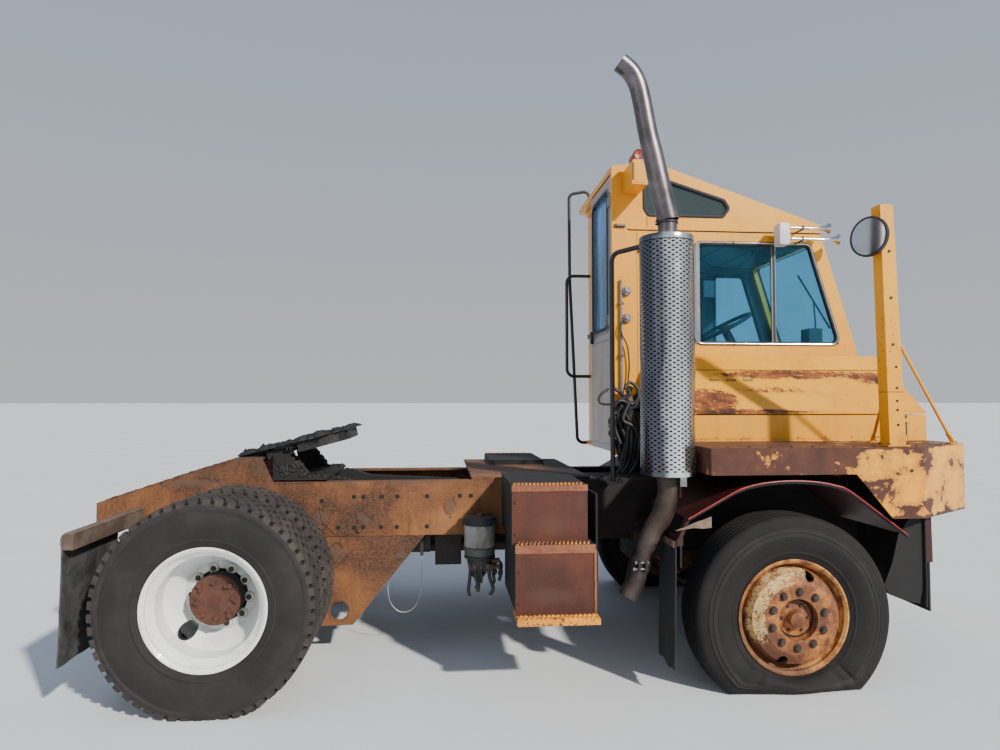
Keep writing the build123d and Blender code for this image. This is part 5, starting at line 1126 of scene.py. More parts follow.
# latch plate and rod at the roof seam
sh.box(2.277, 2.352, CY - 0.010, CY - 0.001, 2.664, 2.686, 1)
sh.rod(P(2.290, CY - 0.014, 2.675), P(2.344, CY - 0.014, 2.675), 0.007, 12, 0)
sh.box(2.438, 2.468, CY - 0.012, CY - 0.001, 2.498, 2.514, 1)
sh.pipe(smooth_line([P(2.322, -0.132, 2.03), P(2.306, -0.132, 1.98), P(2.322, -0.132, 1.93), P(2.356, -0.126, 1.86), P(2.368, -0.122, 1.74), P(2.360, -0.120, 1.64), P(2.345, -0.120, 1.56)], 8), 0.0050, 10, 2)
sh.object("cab_side_fittings", ["grey_frame", "brown", "hose"], "cab", "pipe_steel", angle=40)

# thin hose from the lower fitting, and hoses with couplings behind the cab
sh = Shape()
rnd = random.Random(11)
TANGLE = (
    ((2.23, 1.60), (2.28, 1.56), (2.36, 1.50), (2.40, 1.41), (2.36, 1.30), (2.30, 1.22)),
    ((2.26, 1.47), (2.33, 1.53), (2.41, 1.49), (2.43, 1.39), (2.40, 1.27)),
    ((2.22, 1.40), (2.29, 1.44), (2.35, 1.39), (2.37, 1.28), (2.33, 1.19)),
    ((2.31, 1.58), (2.35, 1.62), (2.40, 1.57), (2.38, 1.47), (2.30, 1.42), (2.25, 1.33), (2.28, 1.22)),
    ((2.42, 1.55), (2.36, 1.48), (2.27, 1.50), (2.22, 1.42), (2.24, 1.30)),
    ((2.34, 1.50), (2.29, 1.38), (2.36, 1.33), (2.41, 1.22)),
)
for i, line in enumerate(TANGLE):
    y = -0.176 - 0.014 * i
    sh.pipe(smooth_line([P(x, y - 0.012 * math.sin(1.7 * j + i), z) for j, (x, z) in enumerate(line)], 8), rnd.uniform(0.009, 0.0135), 12, 0)
# second layer: hoses that gather behind the first and drop to the frame
for i in range(15):
    x0, z0 = rnd.uniform(2.24, 2.42), rnd.uniform(1.36, 1.60)
    xm, zm = min(2.44, max(2.20, x0 + rnd.uniform(-0.07, 0.07))), z0 - rnd.uniform(0.08, 0.16)
    x1, z1 = rnd.uniform(2.27, 2.42), rnd.uniform(1.06, 1.22)
    yy = -0.166 - 0.010 * (i % 5)
    sh.pipe(smooth_line([P(x0, yy, z0), P((x0 + xm) / 2 + 0.02, yy - 0.012, (z0 + zm) / 2 + 0.02), P(xm, yy - 0.006, zm), P((xm + x1) / 2, yy - 0.014, (zm + z1) / 2), P(x1, yy, z1)], 6), rnd.uniform(0.008, 0.014), 10, 0)
# bracket plate that carries them, with uneven cut edges, near black as painted shade
plate = [(2.262, 1.22), (2.300, 1.06), (2.428, 1.06), (2.440, 1.30), (2.436, 1.50), (2.405, 1.545), (2.365, 1.515), (2.318, 1.545), (2.285, 1.470), (2.268, 1.36)]
sh.loft([[P(x, -0.146, z) for x, z in plate], [P(x, -0.152, z) for x, z in plate]], 3)
for x, z, a in ((2.40, 1.41, 0.4), (2.29, 1.44, -0.6), (2.35, 1.57, 1.2), (2.25, 1.34, 0.1), (2.37, 1.29, 0.9), (2.33, 1.50, -0.2)):
    c = P(x, -0.185, z)
    dv = Vector((math.cos(a), 0.1, math.sin(a))) * 0.026
    sh.rod(c - dv, c + dv, 0.0165, 6, 1)
    sh.rod(c - dv * 1.5, c - dv, 0.011, 12, 2)
# wide loop that hangs out past the door edge
sh.pipe(smooth_line([P(2.215, -0.17, 1.579), P(2.165, -0.18, 1.545), P(2.148, -0.185, 1.506), P(2.174, -0.19, 1.480), P(2.270, -0.20, 1.482), P(2.360, -0.20, 1.500), P(2.439, -0.19, 1.486)], 9), 0.0085, 12, 0)
# valve block, its bracket to the wall and the pipes down to the frame
sh.box(2.318, 2.428, -0.200, -0.150, 1.452, 1.512, 1)
sh.box(2.300, 2.440, -0.190, -0.150, 1.250, 1.300, 1)
for x, y in ((2.328, -0.225), (2.352, -0.235), (2.379, -0.222), (2.403, -0.240)):
    sh.pipe(smooth_line([P(x, y, 1.31), P(x - 0.008, y - 0.01, 1.20), P(x - 0.02, y + 0.02, 1.10), P(x - 0.06, y + 0.03, 1.035)], 6), 0.012, 12, 0)
sh.rod(P(2.345, -0.20, 1.24), P(2.345, -0.20, 1.50), 0.030, 24, 1)
sh.rod(P(2.345, -0.20, 1.50), P(2.345, -0.20, 1.525), 0.022, 24, 2)
sh.box(2.330, 2.362, -0.190, -0.150, 1.350, 1.375, 1)
sh.object("air_hoses", ["hose", "black", "brown", "shadow"], "chassis", "black_tube", angle=45)

# horns: turned trumpets on the pale lamp box
sh = Shape()
for z, x1, r in ((2.660, 3.722, 0.037), (2.586, 3.788, 0.038)):
    sh.lathe(P(0, -0.205, z), (1, 0, 0), [(0.0, 3.434), (0.0135, 3.434), (0.0140, 3.452), (0.0095, 3.458), (0.0098, x1 - 0.110), (0.0110, x1 - 0.075), (0.0140, x1 - 0.048), (0.0200, x1 - 0.026),
             (0.0285, x1 - 0.010), (r - 0.002, x1 - 0.003), (r, x1), (r - 0.0015, x1 + 0.001), (0.0250, x1 - 0.012), (0.0160, x1 - 0.034), (0.0090, x1 - 0.070), (0.0, x1 - 0.090)], 40, 0, closed=False)
    sh.box(3.53, 3.545, -0.216, -0.194, z - 0.015, z + 0.015, 2)
    sh.rod(P(3.5375, -0.205, z - 0.01), P(3.5375, -0.10, z - 0.01), 0.006, 10, 2)
body = [(-0.034, -0.070), (0.034, -0.070), (0.034, 0.070), (-0.034, 0.070)]
loops = []
for y, off in ((-0.165, 0.0), (-0.166, 0.003), (-0.236, 0.003), (-0.2435, 0.000), (-0.245, -0.006)):
    loops.append([P(3.396 + u, y, 2.611 + v) for u, v in rounded_loop(body, 0.012, off, 4)])
sh.loft(loops, 1)
sh.box(3.388, 3.404, -0.165, -0.100, 2.590, 2.630, 2)
sh.box(3.3595, 3.364, -0.240, -0.170, 2.550, 2.672, 1)
sh.object("horns_and_lamp_box", ["chrome", "white", "black"], "cab", "chrome_trim", angle=30, stands_for=("air_horns",))

# work lamp: folded yellow housing with a round red-brown lamp on it and a dark bracket
sh = Shape()
rear, front = 2.338, 2.446
prof = [(rear, 2.890), (front - 0.006, 2.886), (front, 2.892), (front, 3.046), (front - 0.006, 3.052), (rear + 0.012, 3.052), (rear, 3.030)]
sh.loft([[P(x, y, z) for x, z in prof] for y in (-0.102, -0.327)], 0)
sh.loft([[P(x, y, z) for x, z in [(rear + 0.014, 2.902), (front - 0.016, 2.900), (front - 0.012, 3.038), (rear + 0.016, 3.038)]] for y in (-0.3265, -0.3295)], 0)
sh.box(2.341, 2.352, -0.300, -0.102, 2.925, 3.020, 1)
sh.box(2.341, 2.350, -0.3305, -0.300, 2.915, 3.030, 1)
sh.lathe(P(2.385, -0.180, 3.084), (0, -1, 0), [(0.0, 0.0), (0.028, 0.002), (0.0325, 0.02), (0.033, 0.140), (0.0295, 0.146), (0.0285, 0.142), (0.0, 0.139)], 36, 2, closed=False)
sh.lathe(P(2.385, -0.180, 3.084), (0, -1, 0), [(0.0325, 0.126), (0.0350, 0.128), (0.0350, 0.142), (0.0325, 0.146)], 36, 1, closed=False)
sh.object("work_lamp_housing", ["roof", "brown", "red_lens"], "cab", "yellow_paint", angle=35, bevel=0.002, stands_for=("work_lamp",))

# roof drip line, rivets, seams on the wall
sh = Shape()
sh.box(2.372, 3.722, -0.1035, -0.099, 2.6465, 2.6525, 1)
sh.box(2.372, 3.720, -0.1060, -0.1000, 2.6530, 2.6650, 0)
sh.box(2.372, 3.722, 0.999, 1.0035, 2.6465, 2.6525, 1)
for i in range(19):
    x = 2.42 + i * 0.07
    sh.lathe(P(x, -0.106, 2.659), (0, -1, 0), [(0.004, 0.0), (0.003, 0.0015), (0.0, 0.002)], 10, 0, closed=False)
sh.box(2.5015, 2.5045, -0.1015, -0.0995, 2.655, 2.745, 1)
sh.box(2.4315, 2.4335, -0.1012, -0.0995, 1.29, 2.640, 1)
sh.object("roof_seams", ["roof", "gap"], "cab", "yellow_paint", angle=35)

# things inside: switch box by the screen, notice card, inner lining of the far wall, sun blind
sh = Shape()
sh.box(3.800, 3.900, 0.20, 0.32, 1.925, 2.030, 0)
sh.box(3.690, 3.800, 0.02, 0.10, 1.862, 1.880, 0)
sh.box(3.30, 3.39, 0.935, 0.957, 2.36, 2.50, 1)
sh.box(2.372, 3.690, -0.056, 0.956, 2.600, 2.612, 2)
for i in range(4):
    sh.box(2.60 + 0.26 * i, 2.612 + 0.26 * i, -0.056, 0.956, 2.594, 2.601, 2)
sh.box(2.372, 3.690, 0.90, 0.956, 2.560, 2.600, 2)
sh.box(2.372, 2.500, -0.058, 0.958, 2.30, 2.40, 2)
sh.pipe(smooth_line([P(2.98, 0.3, 2.62), P(3.05, 0.25, 2.50), P(3.20, 0.2, 2.46), P(3.34, 0.2, 2.52), P(3.40, 0.2, 2.62)], 8), 0.004, 8, 3)
# instrument hood, gauges and switches on the dash
for i in range(4):
    sh.lathe(P(3.700, 0.26 + 0.13 * i, 1.822), (-0.55, 0, 0.83), [(0.040, 0.0), (0.040, 0.012), (0.036, 0.014), (0.034, 0.010), (0.0, 0.010)], 28, 0, closed=False)
    sh.lathe(P(3.700, 0.26 + 0.13 * i, 1.822), (-0.55, 0, 0.83), [(0.033, 0.0112), (0.0, 0.0112)], 28, 1, closed=False)
# floor lever and pedals
sh.pipe(smooth_line([P(3.02, 0.12, 1.305), P(3.02, 0.115, 1.55), P(3.05, 0.11, 1.78)], 6), 0.009, 12, 0)
sh.lathe(P(3.05, 0.11, 1.775), (0.1, 0, 1), [(0.0, 0.0), (0.018, 0.006), (0.024, 0.024), (0.018, 0.042), (0.0, 0.046)], 20, 0, closed=False)
for y in (0.30, 0.56):
    sh.box(3.72, 3.80, y - 0.04, y + 0.04, 1.345, 1.357, 0, Matrix.Rotation(-0.7, 3, "Y"))
    sh.pipe([P(3.78, y, 1.37), P(3.86, y, 1.48), P(3.86, y, 1.70)], 0.009, 10, 0)
sh.box(2.905, 2.955, 0.60, 0.66, 1.93, 2.10, 1)
sh.box(2.880, 2.925, 0.90, 0.956, 2.12, 2.33, 4)
sh.box(3.10, 3.14, 0.62, 0.68, 2.20, 2.30, 1)
sh.object("cab_inside", ["plastic", "white", "interior", "hose", "cab"], "cab", "black_plastic", angle=40, bevel=0.0015)


# ================================================================ padded seat
def seat():
    sh = Shape()
    # pedestal: ribbed bellows over the spring
    rows = []
    for i in range(17):
        t = i / 16
        w = 0.150 + (0.012 if i % 2 else -0.010)
        z = 1.306 + t * 0.330
        rows.append([P(2.870 + sx * (0.130 if i % 2 else 0.116), 0.45 + sy * w, z) for sx, sy in ((-1, -0.8), (-0.8, -1), (0.8, -1), (1, -0.8), (1, 0.8), (0.8, 1), (-0.8, 1), (-1, 0.8))])
    sh.loft(rows, 0)
    sh.box(2.68, 3.06, 0.23, 0.67, 1.632, 1.650, 0)
    sh.object("seat_pedestal", ["rubber"], "cab", "black_plastic", angle=40, bevel=0.002, stands_for=("seat",))

    def pad(name, centre, half, crown, seams, turn=0.0):
        """Crowned closed form whose sides pull in between its corners; half is its half sizes in x, y, z."""
        n = 22
        sh2 = Shape()
        pts, faces, index = [], [], {}

        def point(u, v, w):
            key = (round(u, 5), round(v, 5), round(w, 5))
            if key in index:
                return index[key]
            p = Vector((u, v, w))
            e = 5.0
            k2 = (abs(u) ** e + abs(v) ** e + abs(w) ** e) ** (1 / e)
            p = p / max(k2, 1e-6)
            face = max(abs(u), abs(v), abs(w))
            c = [0, 0, 0]
            for ax in range(3):
                o = [i for i in range(3) if i != ax]
                bulge = (1 - (u, v, w)[o[0]] ** 2) * (1 - (u, v, w)[o[1]] ** 2)
                c[ax] = p[ax] * half[ax] * (1 - crown[ax] + crown[ax] * bulge)
            for axis, at_, depth in seams:
                d = abs((u, v)[axis] - at_) if axis < 2 else abs(w - at_)
                dip = depth * math.exp(-(d / 0.05) ** 2)
                c[2] -= dip * max(0.0, p[2]) if axis < 2 else 0.0
            q = Vector(c)
            if turn:
                q = Matrix.Rotation(turn, 3, "Y") @ q
            index[key] = len(pts)
            pts.append(P(*centre) + q)
            return index[key]
        grid = [-1 + 2 * i / n for i in range(n + 1)]
        for ax in range(3):
            for sgn in (-1, 1):
                for i in range(n):
                    for j in range(n):
                        quad = []
                        for a, b in ((i, j), (i + 1, j), (i + 1, j + 1), (i, j + 1)):
                            c3 = [0, 0, 0]
                            c3[ax] = sgn
                            o = [t for t in range(3) if t != ax]
                            c3[o[0]], c3[o[1]] = grid[a], grid[b]
                            quad.append(point(*c3))
                        if sgn < 0:
                            quad.reverse()
                        faces.append(tuple(quad))
        sh2.put(pts, faces)
        ob = sh2.object(name, ["fabric"], "cab", "seat_cover", angle=60)
        return ob
    pad("seat_cushion", (2.872, 0.45, 1.704), (0.206, 0.232, 0.056), (0.05, 0.04, 0.22), ((1, -0.55, 0.012), (1, 0.55, 0.012), (0, 0.1, 0.008)))
    pad("seat_back", (2.652, 0.45, 2.030), (0.264, 0.222, 0.048), (0.04, 0.05, 0.20), ((1, -0.55, 0.012), (1, 0.55, 0.012), (0, 0.3, 0.008)), turn=math.radians(92))


seat()

# ================================================================ steps with serrated yellow treads
sh = Shape()
rnd = random.Random(5)
for name, s in SIDES:
    for x0, x1, ya, yb, z0, z1, lip in ((1.483, 1.879, 0.430, 1.085, 0.760, 1.072, 0.040), (1.494, 1.904, 0.520, 1.150, 0.425, 0.779, 0.050)):
        y0, y1 = sorted((s * ya, s * yb))
        # box body near black as painted shade, with a slightly set-back lower face and folded lip along the top
        sh.box(x0 + 0.006, x1 - 0.004, y0 + 0.012, y1 - 0.012, z0 + 0.002, z1 - 0.008, 4)
        fy = sorted((s * yb - s * 0.004, s * yb - s * 0.016))
        sh.box(x0 + 0.001, x1 - 0.001, fy[0], fy[1], z0 + 0.001, z1 - 0.009, 0)
        face = s * yb
        sh.loft([[P(x0, face - s * 0.016, z1 - lip), P(x1, face - s * 0.016, z1 - lip), P(x1, face - s * 0.016, z1 - 0.004), P(x0, face - s * 0.016, z1 - 0.004)],
                 [P(x0, face - s * 0.001, z1 - lip + 0.003), P(x1, face - s * 0.001, z1 - lip + 0.003), P(x1, face - s * 0.001, z1 - 0.005), P(x0, face - s * 0.001, z1 - 0.005)]], 3)
        # tread plate near black as painted shade, with rows of punched teeth
        sh.box(x0 + 0.001, x1 - 0.001, y0 + 0.010, y1 - 0.001, z1 - 0.009, z1 - 0.004, 4)
        for r in range(2):
            yy = face - s * (0.020 + 0.042 * r)
            n = 18
            for i in range(n):
                x = x0 + 0.014 + (x1 - x0 - 0.028) * (i + (0.5 if r % 2 else 0.0)) / n
                sh.lathe(P(x, yy, z1 - 0.0045), (0, 0, 1), [(0.0080, 0.0), (0.0060, 0.0075), (0.0040, 0.0080), (0.0035, 0.001)], 8, 1 if r == 0 else 3, closed=False)
        # bolts of the side straps
        for dz in (0.06, 0.22):
            sh.nut(P(x0 + 0.020, face - s * 0.004, z0 + dz), (0, s, 0), 0.014, 0.006, 0, spin=0.4)
    # short flange at the front edge of the lower box
    y0, y1 = sorted((s * 1.140, s * 1.152))
    sh.box(1.896, 1.908, y0, y1, 0.440, 0.748, 3)
    # bottom tread: yellow frame with two rows of raised diamonds
    y0, y1 = sorted((s * 1.000, s * 1.2125))
    sh.box(1.500, 1.914, y0, y1, 0.392, 0.424, 1)
    n = 17
    for r, z in ((0, 0.4235), (1, 0.4235)):
        for i in range(n):
            x = 1.512 + 0.390 * (i + (0.5 if r else 0.0)) / n
            yy = s * (1.196 - 0.040 * r)
            sh.lathe(P(x, yy, z), (0, 0, 1), [(0.0125, 0.0), (0.0100, 0.0048), (0.0070, 0.0055), (0.0060, 0.002)], 4, 1, closed=False)
    # worn front edge: overlapping yellow flakes of uneven depth with diamonds between them
    for i in range(30):
        x = 1.504 + 0.402 * i / 29
        h = rnd.uniform(0.010, 0.026)
        yy = sorted((s * 1.2115, s * (1.2135 + 0.0007 * (i % 2))))
        sh.box(x - 0.0075, x + 0.0075, yy[0], yy[1], 0.4245 - h, 0.4250, 1)
    for r in range(2):
        for i in range(14):
            x = 1.518 + 0.392 * (i + (0.5 if r else 0.0)) / 14.5
            z = 0.418 - 0.012 * r
            d = 0.0065
            ring = [P(x + a * d * 1.5, s * 1.2125, z + b * d) for a, b in ((1, 0), (0, 1), (-1, 0), (0, -1))]
            outr = [P(x + a * d * 0.9, s * 1.2148, z + b * d * 0.6) for a, b in ((1, 0), (0, 1), (-1, 0), (0, -1))]
            sh.loft([ring, outr], 2)
    # hangers between the treads
    for x in (1.515, 1.895):
        y0, y1 = sorted((s * 1.060, s * 1.100))
        sh.box(x - 0.006, x + 0.006, y0, y1, 0.42, 0.45, 0)
sh.object("step_details", ["step", "diamond_yellow", "tread_yellow", "step_lip", "shadow"], "chassis", "red_brown_box", angle=35, bevel=0.0012, stands_for=("step_boxes",))

# ================================================================ frame rails: bolts, holes and welds
sh = Shape()
for s in (1, -1):
    y = s * 0.430
    ax = (0, s, 0)
    for x, z in [(v, 0.93) for v in (0.609, 0.665, 0.774, 0.865, 1.041, 1.238, 1.304)] + [(v, 0.75) for v in (0.518, 0.611, 0.663, 0.769, 0.863, 1.041)] + [(0.423, 0.909)]:
        sh.lathe(P(x, y, z), ax, [(0.0135, 0.0), (0.0135, 0.0008), (0.0, 0.0008)], 18, 1, closed=False)
        sh.lathe(P(x, y, z), ax, [(0.0175, 0.0), (0.0170, 0.0012), (0.0135, 0.0012), (0.0132, 0.0)], 18, 0, closed=False)
    # weld bead from the ramp's foot down the hanger, bead along the ramp joint
    for line in ([(0.412, 0.868), (0.425, 0.80), (0.462, 0.755), (0.50, 0.714)], [(-0.10, 1.155), (-0.30, 1.095), (-0.52, 1.022), (-0.80, 0.930)], [(0.150, 1.016), (0.24, 1.016), (0.38, 1.0165)],
                 [(-0.44, 0.702), (0.10, 0.702), (0.60, 0.7015), (1.02, 0.7015)]):
        pts = smooth_line([P(a, y + s * 0.001, b) for a, b in line], 14)
        sh.pipe([p + Vector((0, 0, 0.0016 * math.sin(2.1 * i))) for i, p in enumerate(pts)], [0.0035 + 0.0012 * math.sin(1.3 * i) for i in range(len(pts))], 6, 0)
    # gusset bolts over the axle hanger
    for i in range(6):
        sh.nut(P(-0.36 + 0.20 * i, y, 0.735), ax, 0.026, 0.014, 0, spin=i)
    # plate edge round the tie-down hole
    sh.lathe(P(0.528, y, 0.264), ax, [(0.0525, 0.0), (0.0535, 0.0025), (0.060, 0.0028), (0.062, 0.0)], 40, 0, closed=False)
    # tail plate edge of the ramp and rolled corner
    sh.rod(P(-0.846, y - s * 0.004, 0.815), P(-0.846, y - s * 0.004, 0.905), 0.005, 10, 0)
sh.object("frame_details", ["rail", "gap"], "chassis", "rail_rust", angle=35)

# ================================================================ fifth wheel: greasy lumps along the plate
def clods():
    sh = Shape()
    rnd2 = random.Random(9)
    t = math.radians(14.0)
    c0 = P(0.175, 0, 1.146)
    ex, ez = Vector((math.cos(t), 0, math.sin(t))), Vector((-math.sin(t), 0, math.cos(t)))
    rim = [(0.398, 0.0), (0.398, 0.23), (0.348, 0.333), (0.25, 0.402), (0.10, 0.402), (-0.015, 0.402), (-0.072, 0.318), (-0.16, 0.318), (-0.248, 0.318)]
    pts = []
    for i in range(len(rim) - 1):
        (xa, ya), (xb, yb) = rim[i], rim[i + 1]
        m = max(2, int(math.hypot(xb - xa, yb - ya) / 0.034))
        for j in range(m):
            u = (j + rnd2.uniform(-0.3, 0.3)) / m
            for sgn in (-1, 1):
                pts.append((xa + (xb - xa) * u, sgn * (ya + (yb - ya) * u)))
    for i in range(70):
        pts.append((rnd2.uniform(-0.22, 0.36), rnd2.choice((-1, 1)) * rnd2.uniform(0.17, 0.36)))
    for (x, y) in pts:
        r = rnd2.uniform(0.012, 0.038)
        flat = rnd2.uniform(0.55, 1.05)
        c = c0 + ex * x + Vector((0, y, 0)) + ez * (0.085 - 0.002)
        k2 = 6
        seed = Vector((x * 40, y * 40, 3.1))
        rings = []
        for a in range(4):
            th = math.pi * 0.5 * a / 3.3
            ring = []
            for b in range(k2):
                ph = TAU * b / k2
                w = 1 + 0.45 * mnoise.noise(seed + Vector((math.cos(ph), math.sin(ph), a)) * 1.7)
                ring.append(c + ex * (math.cos(ph) * math.cos(th) * r * 1.35 * w) + Vector((0, math.sin(ph) * math.cos(th) * r * 1.35 * w, 0)) + ez * (math.sin(th) * r * flat * w))
            rings.append(ring)
        sh.loft(rings, 0, caps=True)
    # jaw ring, throat lips, release handle, pivot bosses
    sh.lathe(c0 + ez * 0.0855, ez, [(0.028, -0.012), (0.028, 0.0), (0.062, 0.0022), (0.066, -0.002)], 40, 1, closed=False, arc=math.radians(250), start=math.radians(55))
    for sgn in (-1, 1):
        sh.rod(c0 + Vector((0, sgn * 0.330, 0)), c0 + Vector((0, sgn * 0.378, 0)), 0.046, 24, 1)
    sh.pipe(smooth_line([c0 + ex * 0.05 + Vector((0, -0.10, 0.030)), c0 + ex * 0.12 + Vector((0, -0.25, 0.022)), c0 + ex * 0.14 + Vector((0, -0.37, 0.030))], 6), 0.008, 10, 1)
    # hanging crust below the plate's edge
    for i in range(34):
        x = rnd2.uniform(-0.20, 0.37)
        y = rnd2.choice((-1, 1)) * (0.400 if -0.01 < x < 0.25 else 0.318)
        c = c0 + ex * x + Vector((0, y, 0)) + ez * 0.058
        r = rnd2.uniform(0.006, 0.013)
        sh.lathe(c, (0, 0, 1), [(0.0, -r * 1.6), (r * 0.8, -r * 0.6), (r, r * 0.4), (0.0, r)], 7, 0, closed=False)
    sh.object("fifth_wheel_grease", ["grease", "grease"], "coupling_plate", "dark_grease", angle=55)


clods()

# clods on the boom's front plate
sh = Shape()
rnd = random.Random(13)
for i in range(60):
    x, y = rnd.uniform(0.40, 0.56), rnd.uniform(-0.29, 0.29)
    r = rnd.uniform(0.008, 0.018)
    if abs(y) < 0.225:
        continue
    sh.lathe(P(x, y, 1.028 - max(0.0, x - 0.52) * 0.3), (0, 0, 1), [(r * 1.3, -0.004), (r, r * 0.5), (r * 0.4, r * 0.8), (0.0, r * 0.85)], 7, 0, closed=False)
for i in range(64):
    sgn, u = rnd.choice((-1, 1)), rnd.uniform(0.04, 0.80)
    x, z, y = 0.330 - 0.105 * u, 1.047 + 0.139 * u, sgn * (rnd.choice((0.312, 0.398)) + rnd.uniform(-0.008, 0.008))
    r = rnd.uniform(0.008, 0.016)
    sh.lathe(P(x, y, z), (0.8, 0, 0.6), [(r * 1.1, -0.004), (r, r * 0.4), (r * 0.5, r * 0.8), (0.0, r * 0.85)], 7, 0, closed=False)
for i in range(70):
    sgn, z = rnd.choice((-1, 1)), rnd.uniform(1.052, 1.125)
    x = rnd.uniform(0.150, 0.318 - (z - 1.047) * 0.755)
    r = rnd.uniform(0.006, 0.013)
    sh.lathe(P(x, sgn * 0.410, z), (0, sgn, 0), [(r * 1.3, -0.003), (r, 0.0022), (r * 0.4, 0.0045), (0.0, 0.0048)], 7, 0, closed=False)
for i in range(46):
    x, y = rnd.uniform(0.335, 0.448), rnd.choice((-1, 1)) * rnd.uniform(0.24, 0.405)
    r = rnd.uniform(0.008, 0.018)
    sh.lathe(P(x, y, 1.0475), (0, 0, 1), [(r * 1.3, -0.003), (r, r * 0.5), (r * 0.4, r * 0.8), (0.0, r * 0.85)], 7, 0, closed=False)
sh.object("boom_grease", ["grease"], "lift_boom", "dark_grease", angle=60)

# ================================================================ front fender edge, splash panels and brackets
sh = Shape()
for s in (1, -1):
    edge = [(2.378, 0.899), (2.500, 0.9655), (2.630, 1.0355), (2.700, 1.0605), (2.780, 1.0765), (2.860, 1.0845), (2.935, 1.0865), (3.010, 1.0845), (3.090, 1.0765), (3.170, 1.0600), (3.240, 1.0340), (3.400, 0.9180), (3.558, 0.7985)]
    line = smooth_line([P(x, s * 1.1745, z) for x, z in edge], 4)
    sh.pipe(line, 0.0034, 8, 0)
    # rolled flange inside the red edge, near black as painted shade
    loops = []
    for dz, yy in ((0.0, 1.172), (-0.010, 1.171), (-0.013, 1.166)):
        loops.append([P(x, s * yy, z + dz - 0.004) for x, z in edge])
    sh.put([p for lp in loops for p in lp], [(i * len(edge) + a, i * len(edge) + a + 1, (i + 1) * len(edge) + a + 1, (i + 1) * len(edge) + a) for i in range(2) for a in range(len(edge) - 1)], 3)
    # torn pale strap at the rear end
    strap = [(2.312, 0.8425), (2.360, 0.858), (2.410, 0.880), (2.452, 0.893), (2.500, 0.910)]
    low = [(2.312, 0.8390), (2.358, 0.846), (2.405, 0.853), (2.455, 0.849), (2.500, 0.853)]
    n = len(strap)
    pts = [P(x, s * 1.1740, z) for x, z in strap] + [P(x, s * 1.1740, z) for x, z in low] + [P(x, s * 1.1710, z) for x, z in strap] + [P(x, s * 1.1710, z) for x, z in low]
    faces = [(i, i + 1, n + i + 1, n + i) for i in range(n - 1)] + [(2 * n + i, 2 * n + i + 1, i + 1, i) for i in range(n - 1)] + [(n + i, n + i + 1, 3 * n + i + 1, 3 * n + i) for i in range(n - 1)]
    sh.put(pts, faces, 2)
    # dark splash panel ahead of the wheel and a cross plate, both near black as painted shade, and the dark red end
    # piece behind it
    y0, y1 = sorted((s * 1.085, s * 1.100))
    prof = [(3.630, 0.887), (3.703, 0.887), (3.700, 0.700), (3.691, 0.517), (3.672, 0.420), (3.600, 0.432), (3.505, 0.470), (3.470, 0.520), (3.520, 0.640), (3.558, 0.790)]
    sh.loft([[P(x, y0, z) for x, z in prof], [P(x, y1, z) for x, z in prof]], 3)
    y0, y1 = sorted((s * 0.600, s * 1.060))
    sh.box(3.640, 3.652, y0, y1, 0.520, 1.200, 3)
    sh.loft([[P(3.722, y0, 0.616), P(3.779, y0, 0.630), P(3.774, y0, 0.886), P(3.716, y0, 0.886)], [P(3.722, y1, 0.616), P(3.779, y1, 0.630), P(3.774, y1, 0.886), P(3.716, y1, 0.886)]], 4)
    # inner side panels of the wheel housing keep daylight out and are near black as painted shade
    y0, y1 = sorted((s * 0.550, s * 0.558))
    prof = [(2.370, 0.760), (2.380, 0.905), (2.630, 1.034), (2.780, 1.074), (2.935, 1.084), (3.090, 1.074), (3.240, 1.030), (3.555, 0.800), (3.560, 0.640), (3.330, 0.600), (2.600, 0.600)]
    sh.loft([[P(x, y0, z) for x, z in prof], [P(x, y1, z) for x, z in prof]], 3)
    # U bolts and leaf clips of the spring, near black as painted shade
    for dx in (-0.065, 0.065):
        sh.pipe([P(2.946 + dx, s * 0.338, 0.400), P(2.946 + dx, s * 0.338, 0.590), P(2.946 + dx, s * 0.422, 0.590), P(2.946 + dx, s * 0.422, 0.400)], 0.009, 10, 3)
    for dx in (-0.42, 0.42):
        sh.box(2.946 + dx - 0.02, 2.946 + dx + 0.02, s * 0.338 if s > 0 else s * 0.422, s * 0.422 if s > 0 else s * 0.338, 0.534, 0.586, 3)
sh.object("fender_details", ["red_edge", "maroon", "cream", "shadow", "maroon"], "chassis", "maroon_sheet", angle=35)

# near-black plates under the deck, behind the front wheels and ahead of the steps, that block light: painted shade
sh = Shape()
sh.box(1.960, 1.972, -0.900, 0.900, 0.520, 0.995, 0)
sh.box(3.905, 3.917, -0.850, 0.850, 0.300, 1.100, 0)
sh.box(2.352, 2.362, -1.120, 1.120, 0.640, 0.755, 0)
sh.box(2.420, 2.450, -0.340, 0.340, 0.420, 0.600, 0)
sh.object("painted_shade_plates", ["shadow"], "chassis", "black_rubber", angle=35)

